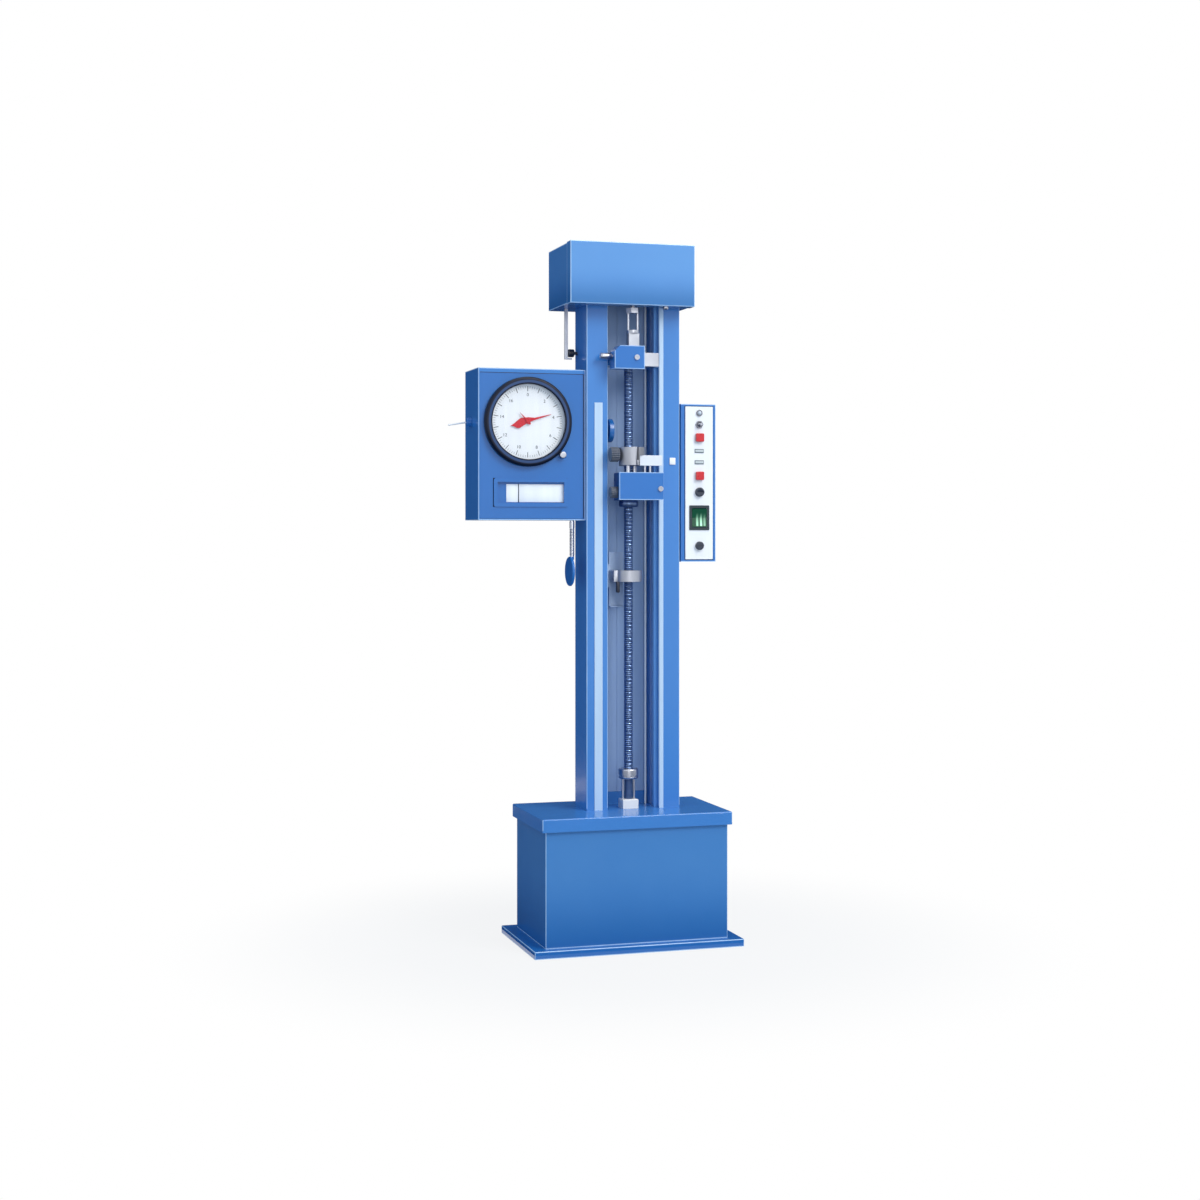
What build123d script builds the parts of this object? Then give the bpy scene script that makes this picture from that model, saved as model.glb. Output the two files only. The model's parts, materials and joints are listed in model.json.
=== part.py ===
from build123d import *
import math
import os

# Textile tensile tester, floor standing. Millimetres, +Z up, front towards -Y.
# The origin is the centre of the underside of the foot plate.

# General clearances and sheet sizes
RUN_FIT = 0.05
SEAT_GAP = 0.3
FREE_GAP = 0.5
SHEET = 2.0
FOLD_RADIUS = 3.0

# Base
PLATE_WIDTH = 554.0
PLATE_DEPTH = 346.0
PLATE_THICK = 19.0
CABINET_WIDTH = 484.0
CABINET_DEPTH = 290.0
CABINET_WALL = 3.0
LID_OVERHANG = 10.0
LID_TOP = 343.0
LID_LIP = 33.0
LID_WALL = 4.0
FRAME_LEG = 36.0
FRAME_WALL = 5.0
FRAME_TOP_THICK = 10.0
FRAME_MARGIN = 14.0
FRAME_FRONT = -92.0

# Column
COLUMN_X = 24.0
SLOT_WIDTH = 138.0
UPRIGHT_WIDTH = 57.5
COLUMN_FRONT = -33.0
COLUMN_DEPTH = 108.0
UPRIGHT_WALL = 4.0
UPRIGHT_INTO_HEAD = 40.0
BACK_PANEL_THICK = 3.0
BACK_PANEL_INSET = 2.0
BACK_PANEL_GAP = 33.0
BACK_RIB_WIDTH = 4.0
BACK_RIB_HEIGHT = 1.5
BACK_RIB_INSET = 11.0
STRIP_THICK = 1.5
SCALE_INSET = 21.0
SCALE_WIDTH = 21.5
SCALE_TOP = 1393.0
GUIDE_STRIP_WIDTH = 11.0
RAIL_WIDTH = 11.0
RAIL_HEIGHT = 7.0
GUIDE_RAIL_Y = -8.5
STOP_RAIL_Y = 31.0
STOP_RAIL_TOP = 1250.0
TRIP_ROD_RADIUS = 2.6
TRIP_ROD_Y = 58.0
TRIP_ROD_INSET = 7.0

# Head
HEAD_WIDTH = 334.0
HEAD_DEPTH = 219.0
HEAD_HEIGHT = 159.0
HEAD_BOTTOM = 1641.0
HEAD_X = 5.0
HEAD_FRONT = -91.0
COVER_FLANGE = 34.0
TOP_BEAM_THICK = 12.0

# Lead screw and its bearings
AXIS_X = 18.0
SCREW_Y = -8.0
SCREW_RADIUS = 12.5
SCREW_JOURNAL_RADIUS = 10.0
SCREW_TOP_RADIUS = 8.0
BEARING_BLOCK_WIDTH = 42.0
BEARING_BLOCK_HEIGHT = 24.0
BEARING_RING_RADIUS = 26.0
BEARING_RING_HEIGHT = 27.0
BEARING_PILLAR_RADIUS = 3.5
BEARING_PILLAR_SPREAD = 15.0
BEARING_PILLAR_HEIGHT = 52.0
BRIDGE_BOTTOM = 1488.0
BRIDGE_HEIGHT = 32.0
BRIDGE_DEPTH = 30.0

# Drive in the cabinet
MOTOR_WALL_GAP = 2.0
MOTOR_RADIUS = 50.0
MOTOR_HEIGHT = 188.0
MOTOR_FOOT_RADIUS = 58.0
MOTOR_X = MOTOR_FOOT_RADIUS + MOTOR_WALL_GAP + CABINET_WALL - CABINET_WIDTH / 2
MOTOR_FOOT_THICK = 12.0
MOTOR_SHAFT_RADIUS = 9.0
PULLEY_BOTTOM = 248.0
BELT_WIDTH = 16.0
BELT_THICK = 5.0
PULLEY_FLANGE = 3.0
PULLEY_LIP = 6.0
MOTOR_PULLEY_RADIUS = 20.0
SCREW_PULLEY_RADIUS = 60.0

# Crosshead
CROSSHEAD_BOTTOM = 1142.0
CROSSHEAD_HEIGHT = 71.0
CROSSHEAD_LEFT = -29.0
CROSSHEAD_RIGHT = 91.0
GRIP_FRONT = -80.0
APRON_THICK = 9.0
CROSSHEAD_BODY_LEFT = -14.0
CROSSHEAD_GAP = 3.0
CROSSHEAD_BACK = 16.0
NUT_BODY_RADIUS = 18.0
NUT_FLANGE_RADIUS = 25.0
NUT_FLANGE_HEIGHT = 17.0
LOCK_KNOB_RADIUS = 14.5
LOCK_KNOB_LENGTH = 32.0
LOCK_KNOB_Z = 1161.5
POST_HEIGHT = 17.0
POST_RADIUS = 5.5
INDEX_POST_RADIUS = 3.0
INDEX_POST_SPREAD = 7.0

# Grips
LOAD_Y = -46.0
JAW_OPENING = 4.0
JAW_CLOSE = 3.0
JAW_NECK_RADIUS = 3.0
JAW_NECK_LENGTH = 4.0
JAW_THICK = 8.0
JAW_TRAVEL_ROOM = 9.0
JAW_SIDE_ROOM = 3.0
DRUM_RADIUS = 34.5
DRUM_X = 13.8
DRUM_Y = -55.0
DRUM_FLAT_GAP = 2.0
DRUM_HEIGHT = 48.0
DRUM_FLOOR = 14.0
CLAMP_SCREW_RADIUS = 6.0
LOWER_KNOB_RADIUS = 19.0
LOWER_KNOB_LENGTH = 22.5
INDEX_BAR_LEFT = 24.0
INDEX_BAR_LENGTH = 62.0
INDEX_BAR_HEIGHT = 27.0
INDEX_BAR_DEPTH = 18.0
INDEX_BAR_Y = -82.0
UPPER_GRIP_BOTTOM = 1478.0
UPPER_GRIP_HEIGHT = 60.0
UPPER_GRIP_LEFT = -41.0
UPPER_GRIP_RIGHT = 39.5
UPPER_GRIP_DEPTH = 45.0
UPPER_GRIP_CHAMFER = 15.0
UPPER_GRIP_WALL = 9.0
UPPER_JAW_TOP = 1522.0
FIXED_JAW_RIGHT = 81.0
FIXED_JAW_HEIGHT = 35.0
FIXED_JAW_BOTTOM = 1486.0
CLAMP_PIN_RADIUS = 8.5
CLAMP_PIN_LENGTH = 28.0
CLAMP_PIN_Z = 1511.0
JAW_FACE_HEIGHT = 30.0
JAW_FACE_DEPTH = 30.0
LOAD_BLOCK_WIDTH = 28.0
LOAD_BLOCK_HEIGHT = 34.0
STIRRUP_HEIGHT = 52.0
STIRRUP_ROD_RADIUS = 3.0
STIRRUP_PLATE = 8.0
LOAD_ROD_RADIUS = 6.0
LOAD_NUT_RADIUS = 18.0
STIRRUP_RADIUS = 16.5
LOAD_NUT_HEIGHT = 13.0

# Weighing beam and pendulum
PULLEY_Y = 4.0
SHAFT_Z = 1323.0
SHAFT_RADIUS = 6.0
LOAD_PULLEY_RADIUS = 30.5
LOAD_PULLEY_LEFT = -37.0
LOAD_PULLEY_WIDTH = 12.0
TAPE_WIDTH = 8.0
TAPE_THICK = 0.8
BEAM_Z = 1722.0
BEAM_PLATE = 4.0
BEAM_HEIGHT = 20.0
BEAM_GAP = 12.0
BEAM_PIN_RADIUS = 3.0
BEAM_PIN_SLACK = 0.8
EYE_NECK = 6.0
TONGUE_THICK = 10.0
TONGUE_RADIUS = 8.0
PENDULUM_X = -131.0
PENDULUM_HUB_RADIUS = 14.0
PENDULUM_HUB_LENGTH = 20.0
PENDULUM_ROD_RADIUS = 5.5
PENDULUM_FERRULE_RADIUS = 6.5
PENDULUM_FERRULE_LENGTH = 18.0
BOB_RADIUS = 38.0
BOB_THICK = 7.0
BOB_X = -136.5
BOB_Z = 958.0
SWING_BACK = 14.25
SWING_FORWARD = 3.5

# Gauge box
GAUGE_LEFT = -385.0
GAUGE_FRONT = -20.0
GAUGE_DEPTH = 150.0
GAUGE_BOTTOM = 1090.0
GAUGE_HEIGHT = 387.0
GAUGE_RIM_TOP = 11.0
GAUGE_RIM_SIDE = 4.0
PANEL_LIP = 8.0
DIAL_X = -256.0
DIAL_Z = 1341.0
BEZEL_RADIUS = 114.5
BEZEL_DEPTH = 18.0
DIAL_RADIUS = 96.0
GLASS_SEAT = 4.5
GLASS_THICK = 2.5
BEZEL_FACE = 4.0
DIAL_THICK = 2.0
ARBOR_RADIUS = 2.5
HAND_THICK = 1.5
HAND_LENGTH = 66.0
HAND_TAIL = 44.0
HAND_WIDTH = 11.0
HAND_ANGLE = 19.7
PEAK_HAND_LENGTH = 33.0
PEAK_HAND_ANGLE = 132.5
RESET_KNOB_RADIUS = 9.0
RESET_KNOB_ANGLE = -42.7
RESET_KNOB_OUT = 14.0
MOVEMENT_WIDTH = 88.0
MOVEMENT_HEIGHT = 80.0
MOVEMENT_DEPTH = 50.0
WINDOW_LEFT = -345.0
WINDOW_WIDTH = 196.0
WINDOW_BOTTOM = 1124.0
WINDOW_HEIGHT = 73.0
WINDOW_FRAME = 10.0
WINDOW_RAISE = 2.5
WINDOW_TRAY = 6.0
ZERO_KNOB_Y = 62.0
ZERO_KNOB_Z = 1342.0
ZERO_KNOB_RADIUS = 12.0
ZERO_KNOB_LENGTH = 13.0
ZERO_LEVER_RADIUS = 2.0
ZERO_LEVER_LENGTH = 50.0
ZERO_LEVER_DROP = 8.0

# Transport lock at the top left
LOCK_Y = 55.0
LOCK_Z = 1526.5
LOCK_BAR_LEFT = -137.0
LOCK_BAR_WIDTH = 9.0
LOCK_BAR_THICK = 4.0
LOCK_FOOT_LENGTH = 20.0
BEAM_KNOB_RADIUS = 10.5
BEAM_KNOB_LEFT = -127.0
BEAM_KNOB_LENGTH = 15.5
BEAM_KNOB_SHAFT = 4.0

# Control panel
CONTROL_SPACER = 3.0
CONTROL_WIDTH = 97.0
CONTROL_DEPTH = 70.0
CONTROL_BOTTOM = 982.0
CONTROL_HEIGHT = 412.0
FACE_WIDTH = 76.0
FACE_MARGIN = 6.5
FACE_THICK = 2.5
CONTROL_OFFSET = 1.5
LAMP_Z = 1370.5
TOGGLE_Z = 1340.5
UPPER_BUTTON_Z = 1306.5
LOWER_BUTTON_Z = 1206.5
SPEED_Z = 1164.0
ROCKER_Z = 1097.0
FUSE_Z = 1024.0
LAMP_RADIUS = 8.5
TOGGLE_NUT_RADIUS = 10.5
TOGGLE_HOLE = 6.0
TOGGLE_LENGTH = 16.0
TOGGLE_ROOT = 2.0
TOGGLE_TIP = 3.2
BUTTON_SIZE = 22.0
BUTTON_OUT = 6.0
BUTTON_STROKE = 3.0
ROUND_CAP_RADIUS = 12.0
ROUND_CAP_OUT = 9.0
FUSE_CAP_RADIUS = 11.0
ROCKER_WIDTH = 55.0
ROCKER_HEIGHT = 64.5
ROCKER_BORDER = 7.0
ROCKER_RAISE = 2.0

# Travel stop
STOP_TOP = 960.0
STOP_HEIGHT = 29.0
STOP_RING_RADIUS = 35.0
STOP_BORE = 17.0
CARRIER_LEFT = -24.0
CARRIER_WIDTH = 38.0
CARRIER_BOTTOM = STOP_TOP - 96.0
CARRIER_HEIGHT = 143.0
CARRIER_THICK = 3.0
CARRIER_LIP = 12.0
LUG_OUT = 8.0
LUG_SIDE = 12.0
LUG_STEP = 4.0
LUG_SPLIT = 2.0
SHOE_WIDTH = 20.0
SHOE_HEIGHT = 60.0
SHOE_WALL = 5.0

# Places worked out from the sizes above
SLOT_LEFT = COLUMN_X - SLOT_WIDTH / 2
SLOT_RIGHT = COLUMN_X + SLOT_WIDTH / 2
COLUMN_LEFT = SLOT_LEFT - UPRIGHT_WIDTH
COLUMN_RIGHT = SLOT_RIGHT + UPRIGHT_WIDTH
COLUMN_BACK = COLUMN_FRONT + COLUMN_DEPTH
UPRIGHT_TOP = HEAD_BOTTOM + UPRIGHT_INTO_HEAD
LID_UNDERSIDE = LID_TOP - LID_WALL
HEAD_LEFT = HEAD_X - HEAD_WIDTH / 2
HEAD_RIGHT = HEAD_X + HEAD_WIDTH / 2
HEAD_BACK = HEAD_FRONT + HEAD_DEPTH
HEAD_TOP = HEAD_BOTTOM + HEAD_HEIGHT
CROSSHEAD_TOP = CROSSHEAD_BOTTOM + CROSSHEAD_HEIGHT
DRUM_BOTTOM = CROSSHEAD_TOP + POST_HEIGHT
DRUM_TOP = DRUM_BOTTOM + DRUM_HEIGHT
GRIP_BACK = GRIP_FRONT + UPPER_GRIP_DEPTH
UPPER_GRIP_TOP = UPPER_GRIP_BOTTOM + UPPER_GRIP_HEIGHT
RING_BOTTOM = LID_TOP + BEARING_BLOCK_HEIGHT + BEARING_PILLAR_HEIGHT
RING_TOP = RING_BOTTOM + BEARING_RING_HEIGHT
BRIDGE_TOP = BRIDGE_BOTTOM + BRIDGE_HEIGHT
GAUGE_BACK = GAUGE_FRONT + GAUGE_DEPTH
GAUGE_TOP = GAUGE_BOTTOM + GAUGE_HEIGHT
GAUGE_RIGHT = COLUMN_LEFT
CONTROL_LEFT = COLUMN_RIGHT + CONTROL_SPACER
CONTROL_RIGHT = CONTROL_LEFT + CONTROL_WIDTH
CONTROL_TOP = CONTROL_BOTTOM + CONTROL_HEIGHT
CONTROL_X = (CONTROL_LEFT + CONTROL_RIGHT) / 2 + CONTROL_OFFSET
FACE_FRONT = COLUMN_FRONT - FACE_THICK
CLAMP_Z = DRUM_BOTTOM + (DRUM_FLOOR + DRUM_HEIGHT) / 2 - SHEET
TAPE_X = LOAD_PULLEY_LEFT + LOAD_PULLEY_WIDTH / 2
TAPE_Y = PULLEY_Y + LOAD_PULLEY_RADIUS + SEAT_GAP
BEAM_MID_X = (AXIS_X + TAPE_X) / 2
BEAM_MID_Y = (LOAD_Y + TAPE_Y + TAPE_THICK / 2) / 2
BEAM_SPAN = math.hypot(TAPE_X - AXIS_X, TAPE_Y + TAPE_THICK / 2 - LOAD_Y)
BEAM_ANGLE = math.degrees(math.atan2(TAPE_Y + TAPE_THICK / 2 - LOAD_Y, TAPE_X - AXIS_X))


def slab(x0, x1, y0, y1, z0, z1):
    """A box between two corners."""
    corner = (Align.MIN, Align.MIN, Align.MIN)
    return Pos(x0, y0, z0) * Box(x1 - x0, y1 - y0, z1 - z0, align=corner)


def bar_z(x, y, z0, z1, radius):
    """A round bar standing along Z."""
    return Pos(x, y, z0) * Cylinder(radius, z1 - z0, align=(Align.CENTER, Align.CENTER, Align.MIN))


def bar_x(x0, x1, y, z, radius):
    """A round bar lying along X."""
    bar = Cylinder(radius, x1 - x0, align=(Align.CENTER, Align.CENTER, Align.MIN))
    return Pos(x0, y, z) * Rot(0, 90, 0) * bar


def bar_y(y0, y1, x, z, radius):
    """A round bar lying along Y."""
    bar = Cylinder(radius, y1 - y0, align=(Align.CENTER, Align.CENTER, Align.MIN))
    return Pos(x, y0, z) * Rot(-90, 0, 0) * bar


def round_edges(solid, axis, radius):
    """Rounds the edges that run along one axis."""
    return fillet(solid.edges().filter_by(axis), radius)


def knurled_bar_x(x0, x1, y, z, radius, flutes):
    """A grip knob along X with shallow flutes round its rim."""
    knob = bar_x(x0, x1, y, z, radius)
    knob = chamfer(knob.edges().filter_by(GeomType.CIRCLE), radius * 0.08)
    for number in range(flutes):
        angle = 2 * math.pi * number / flutes
        flute_y = y + radius * math.cos(angle)
        flute_z = z + radius * math.sin(angle)
        knob -= bar_x(x0, x1, flute_y, flute_z, radius * 0.09)
    return knob


# Base


def foot_plate():
    """Thick plate that the machine stands on."""
    plate = slab(
        -PLATE_WIDTH / 2, PLATE_WIDTH / 2, -PLATE_DEPTH / 2, PLATE_DEPTH / 2, 0, PLATE_THICK
    )
    plate = round_edges(plate, Axis.Z, FOLD_RADIUS)
    return chamfer(plate.faces().sort_by(Axis.Z)[-1].edges(), 1.2)


def cabinet_shell():
    """Folded sheet walls round the drive, open above and below."""
    half_w, half_d = CABINET_WIDTH / 2, CABINET_DEPTH / 2
    outer = slab(-half_w, half_w, -half_d, half_d, PLATE_THICK, LID_UNDERSIDE)
    outer = round_edges(outer, Axis.Z, FOLD_RADIUS)
    wall = CABINET_WALL
    inner = slab(
        -half_w + wall, half_w - wall, -half_d + wall, half_d - wall, PLATE_THICK, LID_UNDERSIDE
    )
    return outer - inner


def cabinet_lid():
    """Pan-shaped lid with a hanging lip, a hole for the screw and an upstand under the liner."""
    half_w = CABINET_WIDTH / 2 + LID_OVERHANG
    half_d = CABINET_DEPTH / 2 + LID_OVERHANG * 0.8
    lid = slab(-half_w, half_w, -half_d, half_d, LID_TOP - LID_LIP, LID_TOP)
    lid = round_edges(lid, Axis.Z, FOLD_RADIUS)
    lid = fillet(lid.faces().sort_by(Axis.Z)[-1].edges(), FOLD_RADIUS)
    wall = LID_WALL
    lid -= slab(
        -half_w + wall, half_w - wall, -half_d + wall, half_d - wall, LID_TOP - LID_LIP, LID_UNDERSIDE
    )
    upstand_back = COLUMN_BACK - BACK_PANEL_INSET
    lid += slab(
        SLOT_LEFT + SEAT_GAP, SLOT_RIGHT - SEAT_GAP, upstand_back - BACK_PANEL_THICK, upstand_back,
        LID_UNDERSIDE, LID_TOP + BACK_PANEL_GAP - SEAT_GAP,
    )
    return lid - bar_z(AXIS_X, SCREW_Y, LID_UNDERSIDE, LID_TOP, SCREW_JOURNAL_RADIUS + 2)


def support_frame():
    """Welded frame that carries the column's weight down to the foot plate."""
    x0, x1 = COLUMN_LEFT - FRAME_MARGIN, COLUMN_RIGHT + FRAME_MARGIN
    y0, y1 = FRAME_FRONT, COLUMN_BACK + FRAME_MARGIN
    frame = slab(x0, x1, y0, y1, LID_UNDERSIDE - FRAME_TOP_THICK, LID_UNDERSIDE)
    for leg_x, side_x in ((x0, 1), (x1, -1)):
        for leg_y, side_y in ((y0, 1), (y1, -1)):
            far_x, far_y = leg_x + side_x * FRAME_LEG, leg_y + side_y * FRAME_LEG
            leg = slab(
                min(leg_x, far_x), max(leg_x, far_x), min(leg_y, far_y), max(leg_y, far_y),
                PLATE_THICK, LID_UNDERSIDE,
            )
            in_x, in_y = leg_x + side_x * FRAME_WALL, leg_y + side_y * FRAME_WALL
            leg -= slab(
                min(in_x, far_x), max(in_x, far_x), min(in_y, far_y), max(in_y, far_y),
                PLATE_THICK, LID_UNDERSIDE - FRAME_TOP_THICK,
            )
            frame += leg
    hole = bar_z(AXIS_X, SCREW_Y, LID_UNDERSIDE - FRAME_TOP_THICK, LID_UNDERSIDE, SCREW_JOURNAL_RADIUS + 2)
    return frame - hole


def drive_motor():
    """Vertical gear motor on a round foot."""
    foot_top = PLATE_THICK + MOTOR_FOOT_THICK
    motor = bar_z(MOTOR_X, SCREW_Y, PLATE_THICK, foot_top, MOTOR_FOOT_RADIUS)
    motor += bar_z(MOTOR_X, SCREW_Y, foot_top, PLATE_THICK + MOTOR_HEIGHT, MOTOR_RADIUS)
    neck_top = PULLEY_BOTTOM - SEAT_GAP
    motor += bar_z(MOTOR_X, SCREW_Y, PLATE_THICK + MOTOR_HEIGHT, neck_top, MOTOR_RADIUS / 2)
    return motor - bar_z(
        MOTOR_X, SCREW_Y, PLATE_THICK + MOTOR_HEIGHT, neck_top, MOTOR_SHAFT_RADIUS + RUN_FIT
    )


def pulley(x, groove_radius, bore_radius):
    """Flanged belt pulley about a vertical axis."""
    width = BELT_WIDTH + 2 * FREE_GAP
    low = PULLEY_BOTTOM + PULLEY_FLANGE
    lip = groove_radius + PULLEY_LIP
    wheel = bar_z(x, SCREW_Y, PULLEY_BOTTOM, low, lip)
    wheel += bar_z(x, SCREW_Y, low, low + width, groove_radius)
    wheel += bar_z(x, SCREW_Y, low + width, low + width + PULLEY_FLANGE, lip)
    if bore_radius:
        wheel -= bar_z(x, SCREW_Y, PULLEY_BOTTOM, low + width + PULLEY_FLANGE, bore_radius)
    return wheel


def motor_pulley():
    """Small pulley with the motor's shaft."""
    wheel = pulley(MOTOR_X, MOTOR_PULLEY_RADIUS, 0)
    return wheel + bar_z(
        MOTOR_X, SCREW_Y, PLATE_THICK + MOTOR_HEIGHT + SEAT_GAP, PULLEY_BOTTOM, MOTOR_SHAFT_RADIUS
    )


def screw_pulley():
    """Large pulley keyed to the foot of the lead screw."""
    wheel = pulley(AXIS_X, SCREW_PULLEY_RADIUS, SCREW_JOURNAL_RADIUS)
    relief = (SCREW_PULLEY_RADIUS + SCREW_JOURNAL_RADIUS) / 2
    hole = (SCREW_PULLEY_RADIUS - SCREW_JOURNAL_RADIUS) / 4
    top = PULLEY_BOTTOM + 2 * PULLEY_FLANGE + BELT_WIDTH + 2 * FREE_GAP
    for number in range(5):
        angle = 2 * math.pi * number / 5
        hole_x = AXIS_X + relief * math.cos(angle)
        hole_y = SCREW_Y + relief * math.sin(angle)
        wheel -= bar_z(hole_x, hole_y, PULLEY_BOTTOM, top, hole)
    return wheel


def belt_outline(extra):
    """Flat outline of the open belt drive, at a distance from the pulley grooves."""
    span = AXIS_X - MOTOR_X
    small = MOTOR_PULLEY_RADIUS + extra
    large = SCREW_PULLEY_RADIUS + extra
    lean = math.asin((large - small) / span)
    across, along = math.cos(lean), math.sin(lean)
    upper_small = (-small * along, small * across)
    upper_large = (span - large * along, large * across)
    lower_small = (-small * along, -small * across)
    lower_large = (span - large * along, -large * across)
    outline = Line(upper_small, upper_large)
    outline += ThreePointArc(upper_large, (span + large, 0), lower_large)
    outline += Line(lower_large, lower_small)
    outline += ThreePointArc(lower_small, (-small, 0), upper_small)
    return make_face(outline)


def drive_belt():
    """Closed belt round both pulleys."""
    low = PULLEY_BOTTOM + PULLEY_FLANGE + FREE_GAP
    flat = belt_outline(SEAT_GAP + BELT_THICK) - belt_outline(SEAT_GAP)
    return Pos(MOTOR_X, SCREW_Y, low) * extrude(flat, BELT_WIDTH)


# Lead screw


def bearing_block():
    """White foot bearing block on the lid."""
    half = BEARING_BLOCK_WIDTH / 2
    top = LID_TOP + BEARING_BLOCK_HEIGHT
    block = slab(AXIS_X - half, AXIS_X + half, SCREW_Y - half, SCREW_Y + half, LID_TOP, top)
    block = chamfer(block.faces().sort_by(Axis.Z)[-1].edges(), 2)
    return block - bar_z(AXIS_X, SCREW_Y, LID_TOP, top, SCREW_JOURNAL_RADIUS + RUN_FIT)


def bearing_ring():
    """Chromed bearing ring on its two pillars."""
    foot = LID_TOP + BEARING_BLOCK_HEIGHT
    ring = bar_z(AXIS_X, SCREW_Y, RING_BOTTOM, RING_TOP, BEARING_RING_RADIUS)
    ring = fillet(ring.edges().filter_by(GeomType.CIRCLE), 5)
    waist = BEARING_RING_RADIUS + 1
    groove = bar_z(AXIS_X, SCREW_Y, RING_BOTTOM + 6, RING_BOTTOM + 9, waist)
    groove -= bar_z(AXIS_X, SCREW_Y, RING_BOTTOM + 6, RING_BOTTOM + 9, BEARING_RING_RADIUS - 2)
    ring -= groove
    ring -= bar_z(AXIS_X, SCREW_Y, RING_BOTTOM, RING_TOP, SCREW_JOURNAL_RADIUS + RUN_FIT)
    for side in (-1, 1):
        ring += bar_z(
            AXIS_X + side * BEARING_PILLAR_SPREAD, SCREW_Y, foot, RING_BOTTOM + 4, BEARING_PILLAR_RADIUS
        )
    return ring


def lead_screw():
    """Lead screw: journal at the foot, thread blank, journal at the top."""
    screw = bar_z(AXIS_X, SCREW_Y, PULLEY_BOTTOM - 10, RING_TOP + SEAT_GAP, SCREW_JOURNAL_RADIUS)
    screw += bar_z(AXIS_X, SCREW_Y, RING_TOP + SEAT_GAP, BRIDGE_BOTTOM - SEAT_GAP, SCREW_RADIUS)
    screw += bar_z(AXIS_X, SCREW_Y, BRIDGE_BOTTOM - SEAT_GAP, BRIDGE_TOP + 8, SCREW_TOP_RADIUS)
    return screw


def top_bridge():
    """Crossbar between the uprights that steadies the top of the screw."""
    y0 = SCREW_Y - BRIDGE_DEPTH / 2
    bridge = slab(SLOT_LEFT, SLOT_RIGHT, y0, y0 + BRIDGE_DEPTH, BRIDGE_BOTTOM, BRIDGE_TOP)
    rail_top = GUIDE_RAIL_Y + RAIL_WIDTH / 2 + SEAT_GAP
    rail_low = GUIDE_RAIL_Y - RAIL_WIDTH / 2 - SEAT_GAP
    bridge -= slab(
        SLOT_RIGHT - RAIL_HEIGHT - SEAT_GAP, SLOT_RIGHT, rail_low, rail_top, BRIDGE_BOTTOM, BRIDGE_TOP
    )
    return bridge - bar_z(AXIS_X, SCREW_Y, BRIDGE_BOTTOM, BRIDGE_TOP, SCREW_TOP_RADIUS + RUN_FIT)


# Column


def upright(x0):
    """Square tube post with a closed foot and a closed top."""
    x1 = x0 + UPRIGHT_WIDTH
    post = slab(x0, x1, COLUMN_FRONT, COLUMN_BACK, LID_TOP, UPRIGHT_TOP)
    post = round_edges(post, Axis.Z, FOLD_RADIUS)
    wall = UPRIGHT_WALL
    return post - slab(
        x0 + wall, x1 - wall, COLUMN_FRONT + wall, COLUMN_BACK - wall, LID_TOP + wall, UPRIGHT_TOP - wall
    )


def left_upright():
    """Left post, bored for the pendulum shaft and the transport lock."""
    post = upright(COLUMN_LEFT)
    post -= bar_x(COLUMN_LEFT, SLOT_LEFT, PULLEY_Y, SHAFT_Z, SHAFT_RADIUS + RUN_FIT)
    return post - bar_x(
        COLUMN_LEFT, COLUMN_LEFT + UPRIGHT_WALL, LOCK_Y, LOCK_Z, BEAM_KNOB_SHAFT + RUN_FIT
    )


def right_upright():
    """Right post."""
    return upright(SLOT_RIGHT)


def back_panel():
    """Grey liner that closes the back of the slot, with two pressed ribs."""
    back = COLUMN_BACK - BACK_PANEL_INSET
    front = back - BACK_PANEL_THICK
    bottom = LID_TOP + BACK_PANEL_GAP
    panel = slab(SLOT_LEFT, SLOT_RIGHT, front, back, bottom, UPRIGHT_TOP)
    for rib_x in (COLUMN_X - BACK_RIB_INSET, SLOT_RIGHT - BACK_RIB_INSET):
        rib = slab(
            rib_x - BACK_RIB_WIDTH / 2, rib_x + BACK_RIB_WIDTH / 2,
            front - BACK_RIB_HEIGHT, front, bottom, UPRIGHT_TOP,
        )
        panel += rib
    return panel


def front_strips():
    """Light scale strip on the left post and ground guide strip on the right post."""
    left = COLUMN_LEFT + SCALE_INSET
    front = COLUMN_FRONT - STRIP_THICK
    scale = slab(left, left + SCALE_WIDTH, front, COLUMN_FRONT, LID_TOP, SCALE_TOP)
    edge = SLOT_RIGHT + FOLD_RADIUS - SHEET
    guide = slab(edge, edge + GUIDE_STRIP_WIDTH, front, COLUMN_FRONT, LID_TOP, HEAD_BOTTOM)
    return Compound([scale, guide])


def column_rails():
    """Guide rail for the crosshead, rail for the travel stop, and the slim trip rod."""
    half = RAIL_WIDTH / 2
    guide = slab(
        SLOT_RIGHT - RAIL_HEIGHT, SLOT_RIGHT, GUIDE_RAIL_Y - half, GUIDE_RAIL_Y + half, LID_TOP, UPRIGHT_TOP
    )
    stop = slab(
        SLOT_LEFT, SLOT_LEFT + RAIL_HEIGHT, STOP_RAIL_Y - half, STOP_RAIL_Y + half, LID_TOP, STOP_RAIL_TOP
    )
    rod = bar_z(SLOT_RIGHT - TRIP_ROD_INSET, TRIP_ROD_Y, LID_TOP, UPRIGHT_TOP, TRIP_ROD_RADIUS)
    return Compound([guide, stop, rod])


# Head


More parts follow.
